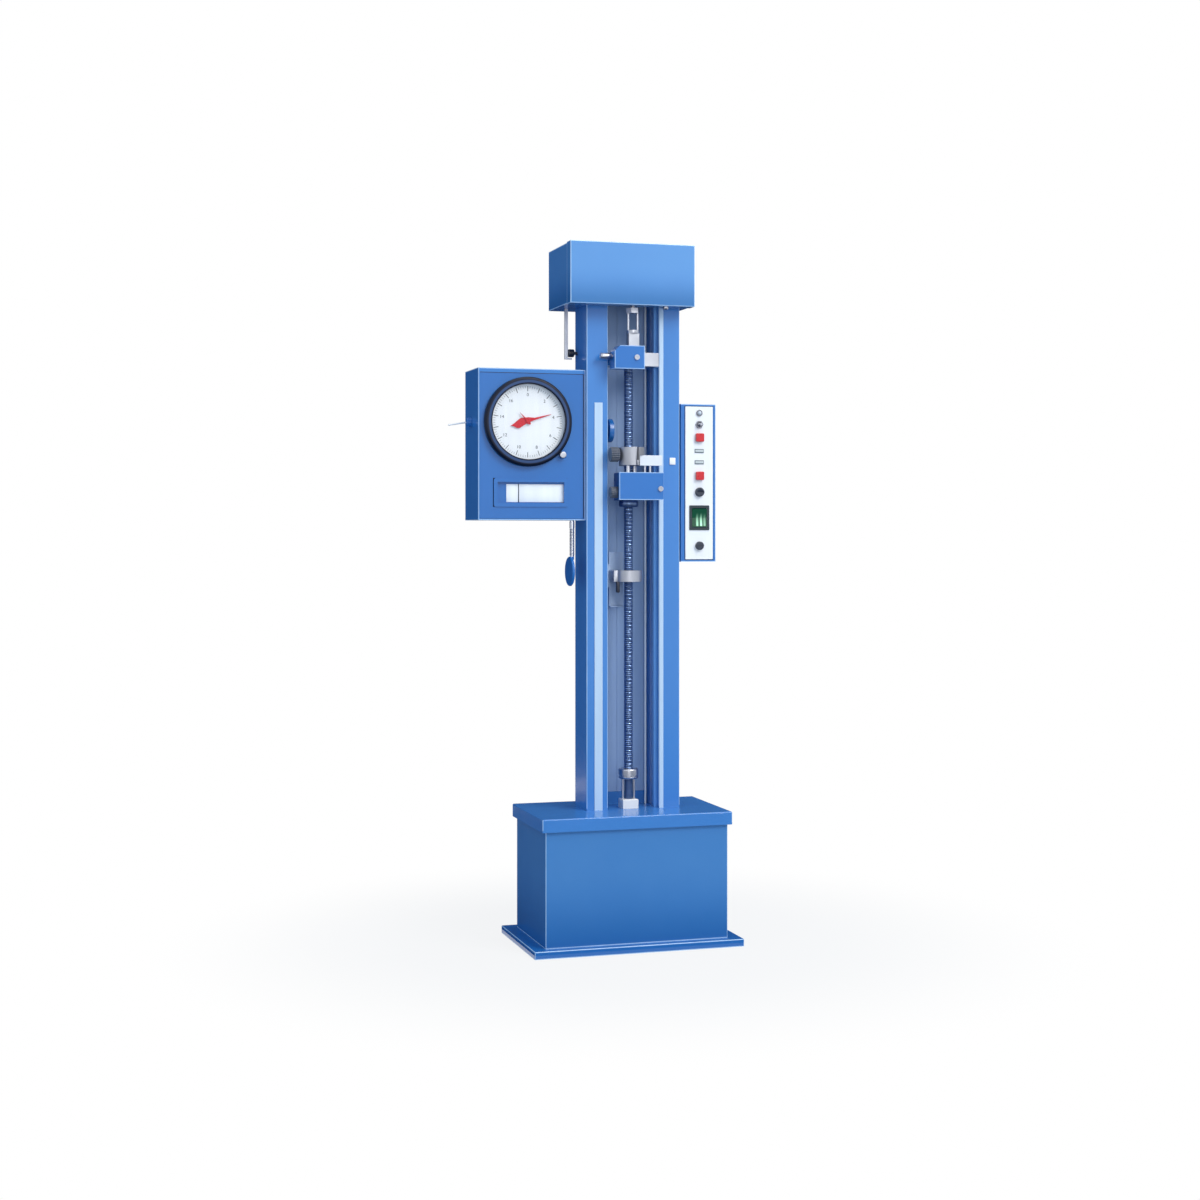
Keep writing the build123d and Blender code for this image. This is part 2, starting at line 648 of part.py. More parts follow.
def head_shell():
    """Sheet box on top of the column, open at the front, with a floor round the posts."""
    x0, x1 = HEAD_LEFT + SHEET, HEAD_RIGHT - SHEET
    y0, z0, z1 = HEAD_FRONT + SHEET, HEAD_BOTTOM + SHEET, HEAD_TOP - SHEET
    shell = slab(x0, x1, y0, HEAD_BACK, z0, z1)
    shell = fillet(shell.faces().sort_by(Axis.Y)[-1].edges(), FOLD_RADIUS)
    shell -= slab(x0 + SHEET, x1 - SHEET, y0, HEAD_BACK - SHEET, z0 + SHEET, z1 - SHEET)
    shell -= slab(COLUMN_LEFT, COLUMN_RIGHT, COLUMN_FRONT, COLUMN_BACK, z0, z0 + SHEET)
    return shell - bar_z(AXIS_X, LOAD_Y, z0, z0 + SHEET, LOAD_ROD_RADIUS + SHEET)


def head_front_cover():
    """Folded front cover whose flanges wrap back over the shell."""
    back = HEAD_FRONT + COVER_FLANGE
    cover = slab(HEAD_LEFT, HEAD_RIGHT, HEAD_FRONT, back, HEAD_BOTTOM, HEAD_TOP)
    cover = round_edges(cover, Axis.Y, FOLD_RADIUS - 1)
    cover = fillet(cover.faces().sort_by(Axis.Y)[0].edges(), FOLD_RADIUS - 1)
    return cover - slab(
        HEAD_LEFT + SHEET, HEAD_RIGHT - SHEET, HEAD_FRONT + SHEET, back, HEAD_BOTTOM + SHEET, HEAD_TOP - SHEET
    )


def beam_frame():
    """Place of the weighing beam: its length lies along local X, its pins along local Y."""
    return Pos(BEAM_MID_X, BEAM_MID_Y, BEAM_Z) * Rot(0, 0, BEAM_ANGLE)


def tongue(low_z, pin_radius):
    """Upright flat tongue with a pin hole at the height of the beam, at the local origin."""
    plate = slab(
        -TONGUE_RADIUS, TONGUE_RADIUS, -TONGUE_THICK / 2, TONGUE_THICK / 2, low_z - BEAM_Z, 0
    )
    plate += bar_y(-TONGUE_THICK / 2, TONGUE_THICK / 2, 0, 0, TONGUE_RADIUS)
    return plate - bar_y(-TONGUE_THICK / 2, TONGUE_THICK / 2, 0, 0, pin_radius)


def top_beam():
    """Plate across the post tops with the fulcrum of the weighing beam."""
    top = UPRIGHT_TOP + TOP_BEAM_THICK
    beam = slab(COLUMN_LEFT, COLUMN_RIGHT, COLUMN_FRONT, COLUMN_BACK, UPRIGHT_TOP, top)
    beam -= slab(
        TAPE_X - TAPE_WIDTH, TAPE_X + TAPE_WIDTH, TAPE_Y - TAPE_WIDTH, TAPE_Y + TAPE_WIDTH, UPRIGHT_TOP, top
    )
    return beam + beam_frame() * tongue(top, BEAM_PIN_RADIUS + RUN_FIT)


def weighing_beam():
    """Two side plates joined by three pins: load end, fulcrum, tape end."""
    half_gap = BEAM_GAP / 2
    reach = BEAM_SPAN / 2 + TONGUE_RADIUS + 2
    beam = Part()
    for side in (-1, 1):
        inner = side * half_gap
        outer = side * (half_gap + BEAM_PLATE)
        beam += slab(
            -reach, reach, min(inner, outer), max(inner, outer), -BEAM_HEIGHT / 2, BEAM_HEIGHT / 2
        )
    full = half_gap + BEAM_PLATE
    for pin_x in (-BEAM_SPAN / 2, 0, BEAM_SPAN / 2):
        beam += bar_y(-full, full, pin_x, 0, BEAM_PIN_RADIUS)
    return beam_frame() * beam


def load_hanger():
    """Load rod with its nut, the stirrup under the head, and the block above the grip."""
    half = LOAD_BLOCK_WIDTH / 2
    block_top = UPPER_GRIP_TOP + LOAD_BLOCK_HEIGHT
    block = slab(
        AXIS_X - half, AXIS_X + half, LOAD_Y - half * 0.75, LOAD_Y + half * 0.75, UPPER_GRIP_TOP, block_top
    )
    flange_top = block_top + STIRRUP_PLATE
    hanger = block + bar_z(AXIS_X, LOAD_Y, block_top, flange_top, STIRRUP_RADIUS)
    stirrup_top = flange_top + STIRRUP_HEIGHT - STIRRUP_PLATE
    rod_reach = STIRRUP_RADIUS - STIRRUP_ROD_RADIUS - 1
    for side in (-1, 1):
        hanger += bar_z(AXIS_X + side * rod_reach, LOAD_Y, flange_top, stirrup_top, STIRRUP_ROD_RADIUS)
    nut_top = stirrup_top + LOAD_NUT_HEIGHT
    hexagon = extrude(RegularPolygon(LOAD_NUT_RADIUS, 6), LOAD_NUT_HEIGHT)
    hanger += Pos(AXIS_X, LOAD_Y, stirrup_top) * hexagon
    rod_top = BEAM_Z - TONGUE_RADIUS - EYE_NECK
    hanger += bar_z(AXIS_X, LOAD_Y, nut_top - 1, rod_top, LOAD_ROD_RADIUS)
    eye = Pos(AXIS_X, LOAD_Y, BEAM_Z) * Rot(0, 0, BEAM_ANGLE)
    return hanger + eye * tongue(rod_top - 2, BEAM_PIN_RADIUS + BEAM_PIN_SLACK)


def load_tape():
    """Steel tape from the beam down to the rim of the load pulley."""
    half = TAPE_WIDTH / 2
    top = BEAM_Z - TONGUE_RADIUS - EYE_NECK
    tape = slab(TAPE_X - half, TAPE_X + half, TAPE_Y, TAPE_Y + TAPE_THICK, SHAFT_Z, top)
    eye = Pos(TAPE_X, TAPE_Y + TAPE_THICK / 2, BEAM_Z) * Rot(0, 0, BEAM_ANGLE)
    return tape + eye * tongue(top - 4, BEAM_PIN_RADIUS + BEAM_PIN_SLACK)


# Upper grip


def upper_grip_body():
    """Blue grip housing, open below and to the right for its jaws."""
    body = slab(
        UPPER_GRIP_LEFT, UPPER_GRIP_RIGHT, GRIP_FRONT, GRIP_BACK, UPPER_GRIP_BOTTOM, UPPER_GRIP_TOP
    )
    corner = body.edges().filter_by(Axis.Y).sort_by(Axis.Z)[-2:].sort_by(Axis.X)[0]
    body = chamfer(corner, UPPER_GRIP_CHAMFER)
    jaw_left = AXIS_X - JAW_OPENING / 2 - JAW_THICK - JAW_TRAVEL_ROOM
    body -= slab(
        jaw_left, UPPER_GRIP_RIGHT, GRIP_FRONT + UPPER_GRIP_WALL, GRIP_BACK,
        UPPER_GRIP_BOTTOM, UPPER_JAW_TOP + FREE_GAP,
    )
    return body - bar_x(
        UPPER_GRIP_LEFT, jaw_left, LOAD_Y - 8, CLAMP_PIN_Z, CLAMP_SCREW_RADIUS + RUN_FIT
    )


def upper_fixed_jaw():
    """Square counter jaw that stands out of the housing on the right."""
    face = AXIS_X + JAW_OPENING / 2
    y0 = GRIP_FRONT + UPPER_GRIP_WALL
    jaw = slab(face, FIXED_JAW_RIGHT, y0, GRIP_BACK, FIXED_JAW_BOTTOM, FIXED_JAW_BOTTOM + FIXED_JAW_HEIGHT)
    return chamfer(jaw.faces().sort_by(Axis.X)[-1].edges(), 1.5)


def jaw_plate(y_mid, z_mid, screw_y, screw_z):
    """Sliding jaw plate with the blind hole for the neck of its clamp screw."""
    right = AXIS_X - JAW_OPENING / 2
    left = right - JAW_THICK
    half_y, half_z = JAW_FACE_DEPTH / 2, JAW_FACE_HEIGHT / 2
    plate = slab(left, right, y_mid - half_y, y_mid + half_y, z_mid - half_z, z_mid + half_z)
    return plate - bar_x(
        left, left + JAW_NECK_LENGTH + SEAT_GAP, screw_y, screw_z, JAW_NECK_RADIUS + RUN_FIT
    )


def clamp_stem(start, y, z):
    """Clamp screw with the slim neck that sits in the jaw plate."""
    shoulder = AXIS_X - JAW_OPENING / 2 - JAW_THICK - SEAT_GAP
    stem = bar_x(start, shoulder, y, z, CLAMP_SCREW_RADIUS)
    return stem + bar_x(shoulder - 1, shoulder + SEAT_GAP + JAW_NECK_LENGTH, y, z, JAW_NECK_RADIUS)


def upper_jaw():
    """Sliding jaw plate of the upper grip."""
    y_mid = (GRIP_FRONT + UPPER_GRIP_WALL + GRIP_BACK) / 2
    return jaw_plate(y_mid, FIXED_JAW_BOTTOM + FIXED_JAW_HEIGHT / 2, LOAD_Y - 8, CLAMP_PIN_Z)


def upper_clamp_screw():
    """Clamp screw with a round bright head on the left."""
    head_right = UPPER_GRIP_LEFT - JAW_CLOSE - SEAT_GAP
    y = LOAD_Y - 8
    screw = bar_x(head_right - CLAMP_PIN_LENGTH, head_right, y, CLAMP_PIN_Z, CLAMP_PIN_RADIUS)
    screw = chamfer(screw.edges().filter_by(GeomType.CIRCLE), 1)
    return screw + clamp_stem(head_right - 1, y, CLAMP_PIN_Z)


# Crosshead and lower grip


def crosshead_block():
    """Crosshead: thin apron in front, body in the slot round the screw, groove on the rail."""
    apron = slab(
        CROSSHEAD_LEFT, CROSSHEAD_RIGHT, GRIP_FRONT, GRIP_FRONT + APRON_THICK, CROSSHEAD_BOTTOM, CROSSHEAD_TOP
    )
    apron = round_edges(apron, Axis.Z, 1.5)
    body_front = COLUMN_FRONT - STRIP_THICK - CROSSHEAD_GAP
    block = apron + slab(
        CROSSHEAD_BODY_LEFT, CROSSHEAD_RIGHT, GRIP_FRONT + APRON_THICK, body_front,
        CROSSHEAD_BOTTOM, CROSSHEAD_TOP,
    )
    shoe_right = SLOT_RIGHT - FREE_GAP
    block += slab(
        CROSSHEAD_BODY_LEFT, shoe_right, body_front, CROSSHEAD_BACK, CROSSHEAD_BOTTOM, CROSSHEAD_TOP
    )
    block -= slab(
        SLOT_RIGHT - RAIL_HEIGHT - SEAT_GAP, SLOT_RIGHT,
        GUIDE_RAIL_Y - RAIL_WIDTH / 2 - SEAT_GAP, GUIDE_RAIL_Y + RAIL_WIDTH / 2 + SEAT_GAP,
        CROSSHEAD_BOTTOM, CROSSHEAD_TOP,
    )
    block -= bar_z(AXIS_X, SCREW_Y, CROSSHEAD_BOTTOM, CROSSHEAD_TOP, NUT_BODY_RADIUS + RUN_FIT)
    return block - bar_x(
        CROSSHEAD_BODY_LEFT, AXIS_X, DRUM_Y, LOCK_KNOB_Z, CLAMP_SCREW_RADIUS + RUN_FIT
    )


def crosshead_nut():
    """Flanged nut on the lead screw, seated in the crosshead from below."""
    nut = bar_z(AXIS_X, SCREW_Y, CROSSHEAD_BOTTOM, CROSSHEAD_TOP, NUT_BODY_RADIUS)
    flange = bar_z(
        AXIS_X, SCREW_Y, CROSSHEAD_BOTTOM - NUT_FLANGE_HEIGHT, CROSSHEAD_BOTTOM, NUT_FLANGE_RADIUS
    )
    flange = chamfer(flange.edges().filter_by(GeomType.CIRCLE), 2)
    nut += flange
    return nut - bar_z(
        AXIS_X, SCREW_Y, CROSSHEAD_BOTTOM - NUT_FLANGE_HEIGHT, CROSSHEAD_TOP, SCREW_RADIUS + RUN_FIT
    )


def nut_lock_knob():
    """Small fluted knob that locks the crosshead nut."""
    right = CROSSHEAD_BODY_LEFT - SEAT_GAP
    left = right - LOCK_KNOB_LENGTH
    knob = knurled_bar_x(left, right, DRUM_Y, LOCK_KNOB_Z, LOCK_KNOB_RADIUS, 18)
    return knob + bar_x(right - 1, AXIS_X - 4, DRUM_Y, LOCK_KNOB_Z, CLAMP_SCREW_RADIUS)


def grip_posts():
    """Posts that stand on the crosshead: two under the grip drum, two slim ones under the index bar."""
    bar_mid_y = INDEX_BAR_Y + INDEX_BAR_DEPTH / 2
    bar_mid_x = INDEX_BAR_LEFT + INDEX_BAR_LENGTH * 0.4
    places = (
        (DRUM_X - DRUM_RADIUS / 2, DRUM_Y - DRUM_RADIUS / 2, POST_RADIUS),
        (DRUM_X + DRUM_RADIUS / 3, DRUM_Y + DRUM_RADIUS / 2, POST_RADIUS),
        (bar_mid_x - INDEX_POST_SPREAD, bar_mid_y, INDEX_POST_RADIUS),
        (bar_mid_x + INDEX_POST_SPREAD, bar_mid_y, INDEX_POST_RADIUS),
    )
    return Compound([bar_z(x, y, CROSSHEAD_TOP, DRUM_BOTTOM, radius) for x, y, radius in places])


def drum_slot():
    """Left wall of the jaw pocket, right wall and floor of the cloth slot in the lower grip."""
    right = AXIS_X + JAW_OPENING / 2
    left = AXIS_X - JAW_OPENING / 2 - JAW_THICK - JAW_TRAVEL_ROOM
    return left, right, DRUM_BOTTOM + DRUM_FLOOR


def lower_grip_body():
    """Round grip body: cloth slot, jaw pocket, notch for the index bar, flat behind."""
    drum = bar_z(DRUM_X, DRUM_Y, DRUM_BOTTOM, DRUM_TOP, DRUM_RADIUS)
    drum = chamfer(drum.edges().filter_by(GeomType.CIRCLE), 1.2)
    left, right, floor = drum_slot()
    y0, y1 = DRUM_Y - DRUM_RADIUS - 1, DRUM_Y + DRUM_RADIUS + 1
    drum -= slab(right - JAW_OPENING, right, y0, y1, floor, DRUM_TOP + 1)
    pocket_half = JAW_FACE_DEPTH / 2 + JAW_SIDE_ROOM
    drum -= slab(left, right, DRUM_Y - pocket_half, DRUM_Y + pocket_half, floor, DRUM_TOP + 1)
    drum -= slab(
        INDEX_BAR_LEFT - FREE_GAP, DRUM_X + DRUM_RADIUS + 1, y0, INDEX_BAR_Y + INDEX_BAR_DEPTH,
        DRUM_BOTTOM, DRUM_BOTTOM + INDEX_BAR_HEIGHT,
    )
    flat = SCREW_Y - SCREW_RADIUS - DRUM_FLAT_GAP
    drum -= slab(DRUM_X - DRUM_RADIUS, DRUM_X + DRUM_RADIUS, flat, y1, DRUM_BOTTOM, DRUM_TOP)
    return drum - bar_x(DRUM_X - DRUM_RADIUS - 1, left, DRUM_Y, CLAMP_Z, CLAMP_SCREW_RADIUS + RUN_FIT)


def lower_jaw():
    """Sliding jaw plate of the lower grip."""
    floor = DRUM_BOTTOM + DRUM_FLOOR + SEAT_GAP
    return jaw_plate(DRUM_Y, floor + JAW_FACE_HEIGHT / 2, DRUM_Y, CLAMP_Z)


def lower_clamp_knob():
    """Black fluted knob and clamp screw of the lower grip."""
    right = DRUM_X - DRUM_RADIUS - JAW_CLOSE - SEAT_GAP
    knob = knurled_bar_x(right - LOWER_KNOB_LENGTH, right, DRUM_Y, CLAMP_Z, LOWER_KNOB_RADIUS, 24)
    return knob + clamp_stem(right - 1, DRUM_Y, CLAMP_Z)


def index_bar():
    """White bar that points across to the guide strip."""
    bar = slab(
        INDEX_BAR_LEFT, INDEX_BAR_LEFT + INDEX_BAR_LENGTH,
        INDEX_BAR_Y, INDEX_BAR_Y + INDEX_BAR_DEPTH - SEAT_GAP / 3,
        DRUM_BOTTOM, DRUM_BOTTOM + INDEX_BAR_HEIGHT - SEAT_GAP,
    )
    return chamfer(bar.edges().filter_by(Axis.Z), 1)


# Travel stop


def stop_carrier():
    """Bent plate of the travel stop with the shoe that slides on the left rail."""
    y0 = SCREW_Y + STOP_RING_RADIUS
    y1 = y0 + CARRIER_THICK
    right = CARRIER_LEFT + CARRIER_WIDTH
    plate = slab(CARRIER_LEFT, right, y0, y1, CARRIER_BOTTOM, CARRIER_BOTTOM + CARRIER_HEIGHT)
    plate += slab(CARRIER_LEFT, right, y0 - CARRIER_LIP, y0, CARRIER_BOTTOM, CARRIER_BOTTOM + CARRIER_THICK)
    shoe_left = SLOT_LEFT + RAIL_HEIGHT - SHOE_WALL
    half = RAIL_WIDTH / 2 + SHOE_WALL
    shoe_low = STOP_TOP - STOP_HEIGHT / 2 - SHOE_HEIGHT / 2
    shoe = slab(
        shoe_left, CARRIER_LEFT + SHEET, STOP_RAIL_Y - half, STOP_RAIL_Y + half,
        shoe_low, shoe_low + SHOE_HEIGHT,
    )
    shoe -= slab(
        SLOT_LEFT, SLOT_LEFT + RAIL_HEIGHT + SEAT_GAP,
        STOP_RAIL_Y - RAIL_WIDTH / 2 - SEAT_GAP, STOP_RAIL_Y + RAIL_WIDTH / 2 + SEAT_GAP,
        shoe_low, shoe_low + SHOE_HEIGHT,
    )
    return plate + shoe


def stop_collar():
    """Split ring of the travel stop round the screw, with its clamp lug."""
    low = STOP_TOP - STOP_HEIGHT
    ring = bar_z(AXIS_X, SCREW_Y, low, STOP_TOP, STOP_RING_RADIUS)
    back = SCREW_Y + STOP_RING_RADIUS
    lug_y0, lug_y1 = SCREW_Y - LUG_SIDE, back - LUG_OUT
    ring += slab(AXIS_X - STOP_RING_RADIUS - LUG_OUT, AXIS_X, lug_y0, lug_y1, low, STOP_TOP)
    ring += slab(AXIS_X - LUG_SIDE, AXIS_X + LUG_SIDE, lug_y1, back, low + LUG_STEP, STOP_TOP - LUG_STEP)
    ring -= bar_z(AXIS_X, SCREW_Y, low, STOP_TOP, STOP_BORE)
    return ring - slab(
        AXIS_X - STOP_RING_RADIUS - 2 * LUG_OUT, AXIS_X,
        SCREW_Y - LUG_SPLIT / 2, SCREW_Y + LUG_SPLIT / 2, low, STOP_TOP,
    )


# Pendulum


def pendulum_shaft():
    """Cross shaft from the dial movement through the left post, with the load pulley."""
    start = DIAL_X + MOVEMENT_WIDTH / 4
    end = LOAD_PULLEY_LEFT + LOAD_PULLEY_WIDTH
    shaft = bar_x(start, end + 3, PULLEY_Y, SHAFT_Z, SHAFT_RADIUS)
    wheel = bar_x(LOAD_PULLEY_LEFT, end, PULLEY_Y, SHAFT_Z, LOAD_PULLEY_RADIUS)
    wheel = fillet(wheel.edges().filter_by(GeomType.CIRCLE), 1)
    return shaft + wheel


def pendulum():
    """Pendulum arm with its bored hub and the disc bob."""
    half = PENDULUM_HUB_LENGTH / 2
    arm = bar_x(PENDULUM_X - half, PENDULUM_X + half, PULLEY_Y, SHAFT_Z, PENDULUM_HUB_RADIUS)
    arm -= bar_x(PENDULUM_X - half, PENDULUM_X + half, PULLEY_Y, SHAFT_Z, SHAFT_RADIUS)
    rod_top = SHAFT_Z - (SHAFT_RADIUS + PENDULUM_HUB_RADIUS) / 2 - 1
    arm += bar_z(PENDULUM_X, PULLEY_Y, BOB_Z + BOB_RADIUS - 8, rod_top, PENDULUM_ROD_RADIUS)
    ferrule_top = GAUGE_BOTTOM - 3
    arm += bar_z(
        PENDULUM_X, PULLEY_Y, ferrule_top - PENDULUM_FERRULE_LENGTH, ferrule_top, PENDULUM_FERRULE_RADIUS
    )
    left, right = BOB_X - BOB_THICK / 2, BOB_X + BOB_THICK / 2
    bob = bar_x(left, right, PULLEY_Y, BOB_Z, BOB_RADIUS)
    bob = chamfer(bob.edges().filter_by(GeomType.CIRCLE), BOB_THICK / 4)
    return arm + bob


# Gauge box


def gauge_opening(margin):
    """Front opening of the gauge box, shrunk by a margin: left, right, bottom, top."""
    left = GAUGE_LEFT + GAUGE_RIM_SIDE + margin
    right = GAUGE_RIGHT - GAUGE_RIM_SIDE - margin
    bottom = GAUGE_BOTTOM + GAUGE_RIM_SIDE + margin
    top = GAUGE_TOP - GAUGE_RIM_TOP - margin
    return left, right, bottom, top


def gauge_housing():
    """Sheet box beside the column, slotted below for the pendulum."""
    x0, x1 = GAUGE_LEFT, GAUGE_RIGHT
    box = slab(x0, x1, GAUGE_FRONT, GAUGE_BACK, GAUGE_BOTTOM, GAUGE_TOP)
    left_edges = box.edges().filter_by(Axis.Z).sort_by(Axis.X)[:2]
    box = fillet(left_edges, FOLD_RADIUS)
    wall = SHEET
    left, right, bottom, top = gauge_opening(PANEL_LIP)
    lip_back = GAUGE_FRONT + 2 * wall
    box -= slab(x0 + wall, x1 - wall, lip_back, GAUGE_BACK - wall, GAUGE_BOTTOM + wall, GAUGE_TOP - wall)
    box -= slab(left, right, GAUGE_FRONT, lip_back, bottom, top)
    left, right, bottom, top = gauge_opening(0)
    box -= slab(left, right, GAUGE_FRONT, GAUGE_FRONT + wall, bottom, top)
    box -= bar_x(x1 - wall, x1, PULLEY_Y, SHAFT_Z, SHAFT_RADIUS + 1)
    box -= bar_x(x0, x0 + wall, ZERO_KNOB_Y, ZERO_KNOB_Z, ZERO_LEVER_RADIUS * 2 + RUN_FIT)
    drop = SHAFT_Z - GAUGE_BOTTOM
    play = PENDULUM_FERRULE_RADIUS + 1.5
    slot_front = PULLEY_Y - drop * math.tan(math.radians(SWING_FORWARD)) - play
    slot_back = PULLEY_Y + drop * math.tan(math.radians(SWING_BACK)) + play
    return box - slab(
        PENDULUM_X - play, PENDULUM_X + play, slot_front, slot_back, GAUGE_BOTTOM, GAUGE_BOTTOM + wall
    )


def gauge_front_panel():
    """Front panel with the dial hole and the raised, recessed window."""
    left, right, bottom, top = gauge_opening(FREE_GAP)
    back = GAUGE_FRONT + SHEET
    panel = slab(left, right, GAUGE_FRONT, back, bottom, top)
    w0, w1 = WINDOW_LEFT, WINDOW_LEFT + WINDOW_WIDTH
    z0, z1 = WINDOW_BOTTOM, WINDOW_BOTTOM + WINDOW_HEIGHT
    frame = slab(w0, w1, GAUGE_FRONT - WINDOW_RAISE, GAUGE_FRONT, z0, z1)
    panel += round_edges(frame, Axis.Y, 6)
    inner = (w0 + WINDOW_FRAME, w1 - WINDOW_FRAME)
    tray_back = back + WINDOW_TRAY
    panel += slab(
        inner[0] - SHEET, inner[1] + SHEET, back, tray_back + SHEET,
        z0 + WINDOW_FRAME - SHEET, z1 - WINDOW_FRAME + SHEET,
    )
    panel -= slab(
        inner[0], inner[1], GAUGE_FRONT - WINDOW_RAISE, tray_back, z0 + WINDOW_FRAME, z1 - WINDOW_FRAME
    )
    panel -= bar_y(GAUGE_FRONT, back, DIAL_X, DIAL_Z, MOVEMENT_HEIGHT / 3)
    knob_x, knob_z = reset_place()
    return panel - bar_y(GAUGE_FRONT, back, knob_x, knob_z, RESET_KNOB_RADIUS / 3 + RUN_FIT)


def dial_bezel():
    """Round black bezel with a rolled rim and a seat for the glass."""
    seat = DIAL_RADIUS + GLASS_SEAT
    front = GAUGE_FRONT - BEZEL_DEPTH
    ring = bar_y(front, GAUGE_FRONT, DIAL_X, DIAL_Z, BEZEL_RADIUS)
    ring = fillet(ring.faces().sort_by(Axis.Y)[0].edges(), 7)
    ring -= bar_y(front, GAUGE_FRONT, DIAL_X, DIAL_Z, DIAL_RADIUS)
    ring -= bar_y(front + BEZEL_FACE, GAUGE_FRONT, DIAL_X, DIAL_Z, seat)
    inner_lip = ring.faces().sort_by(Axis.Y)[0].edges().sort_by(SortBy.RADIUS)[0]
    return chamfer(inner_lip, 2)


def dial_glass():
    """Glass behind the lip of the bezel."""
    front = GAUGE_FRONT - BEZEL_DEPTH + BEZEL_FACE
    return bar_y(front, front + GLASS_THICK, DIAL_X, DIAL_Z, DIAL_RADIUS + GLASS_SEAT - RUN_FIT)


def dial_face():
    """White dial plate, bored for the arbor."""
    front = GAUGE_FRONT - DIAL_THICK
    face = bar_y(front, GAUGE_FRONT, DIAL_X, DIAL_Z, DIAL_RADIUS + GLASS_SEAT - RUN_FIT)
    return face - bar_y(front, GAUGE_FRONT, DIAL_X, DIAL_Z, ARBOR_RADIUS + 1)


def dial_movement():
    """Closed case of the geared movement behind the dial."""
    front = GAUGE_FRONT + SHEET
    half_w, half_h = MOVEMENT_WIDTH / 2, MOVEMENT_HEIGHT / 2
    case = slab(
        DIAL_X - half_w, DIAL_X + half_w, front, front + MOVEMENT_DEPTH, DIAL_Z - half_h, DIAL_Z + half_h
    )
    case -= bar_y(front, front + MOVEMENT_DEPTH / 2, DIAL_X, DIAL_Z, ARBOR_RADIUS + RUN_FIT)
    return case - bar_x(
        DIAL_X + half_w / 2 - 2, DIAL_X + half_w, PULLEY_Y, SHAFT_Z, SHAFT_RADIUS + RUN_FIT
    )


def hand_outline(length, tail, width):
    """Flat outline of a tapering hand that points along local X from its hub."""
    tip = (length, 0)
    outline = Polyline(
        tip, (width, -width / 2), (-tail * 0.35, -width * 0.8), (-tail, 0),
        (-tail * 0.35, width * 0.8), (width, width / 2), tip,
    )
    return make_face(outline)


def place_hand(flat, angle, back_y):
    """Stands a flat hand up on the dial, facing front, at an angle above the horizontal."""
    plate = extrude(flat, HAND_THICK)
    return Pos(DIAL_X, back_y, DIAL_Z) * Rot(90, 0, 0) * Rot(0, 0, angle) * plate


def load_pointer():
    """Red load hand on its arbor."""
    back = GAUGE_FRONT - DIAL_THICK - 2
    hand = place_hand(hand_outline(HAND_LENGTH, HAND_TAIL, HAND_WIDTH), HAND_ANGLE, back)
    hand += bar_y(back - 5, GAUGE_FRONT + SHEET + MOVEMENT_DEPTH / 3, DIAL_X, DIAL_Z, ARBOR_RADIUS)
    return hand + bar_y(back - HAND_THICK, back, DIAL_X, DIAL_Z, HAND_WIDTH * 0.6)


def peak_pointer():
    """Slim peak hand that the load hand leaves behind, turning freely on the arbor."""
    back = GAUGE_FRONT - DIAL_THICK - 2 - HAND_THICK - FREE_GAP
    tip = (PEAK_HAND_LENGTH, 0)
    slim = make_face(Polyline(tip, (0, -2.5), (-9, -2), (-9, 2), (0, 2.5), tip))
    hand = place_hand(slim, PEAK_HAND_ANGLE, back)
    hand += bar_y(back - HAND_THICK, back, DIAL_X, DIAL_Z, ARBOR_RADIUS * 2.4)
    return hand - bar_y(back - HAND_THICK, back, DIAL_X, DIAL_Z, ARBOR_RADIUS + RUN_FIT)


def reset_place():
    """Centre of the reset knob, just outside the bezel."""
    reach = BEZEL_RADIUS + RESET_KNOB_RADIUS + FREE_GAP
    angle = math.radians(RESET_KNOB_ANGLE)
    return DIAL_X + reach * math.cos(angle), DIAL_Z + reach * math.sin(angle)


def reset_knob():
    """Bright knob that brings the peak hand back."""
    knob_x, knob_z = reset_place()
    front = GAUGE_FRONT - RESET_KNOB_OUT
    knob = bar_y(front, GAUGE_FRONT - SEAT_GAP, knob_x, knob_z, RESET_KNOB_RADIUS)
    knob = fillet(knob.faces().sort_by(Axis.Y)[0].edges(), 2.5)
    return knob + bar_y(
        GAUGE_FRONT - SEAT_GAP - 1, GAUGE_FRONT + SHEET + 5, knob_x, knob_z, RESET_KNOB_RADIUS / 3
    )


def zero_knob():
    """Blue zero knob on the side of the box with its thin wire lever."""
    outer = GAUGE_LEFT - ZERO_KNOB_LENGTH
    knob = bar_x(outer, GAUGE_LEFT - SEAT_GAP, ZERO_KNOB_Y, ZERO_KNOB_Z, ZERO_KNOB_RADIUS)
    knob = fillet(knob.faces().sort_by(Axis.X)[0].edges(), 3)
    knob += bar_x(
        GAUGE_LEFT - SEAT_GAP - 1, GAUGE_LEFT + SHEET + 6, ZERO_KNOB_Y, ZERO_KNOB_Z, ZERO_LEVER_RADIUS * 2
    )
    tilt = math.degrees(math.atan2(ZERO_LEVER_DROP, ZERO_LEVER_LENGTH))
    wire = Cylinder(ZERO_LEVER_RADIUS, ZERO_LEVER_LENGTH, align=(Align.CENTER, Align.CENTER, Align.MIN))
    root = Pos(outer + 2, ZERO_KNOB_Y, ZERO_KNOB_Z) * Rot(0, -90 - tilt, 0)
    return knob + root * fillet(wire.faces().sort_by(Axis.Z)[-1].edges(), ZERO_LEVER_RADIUS * 0.9)


# Transport lock


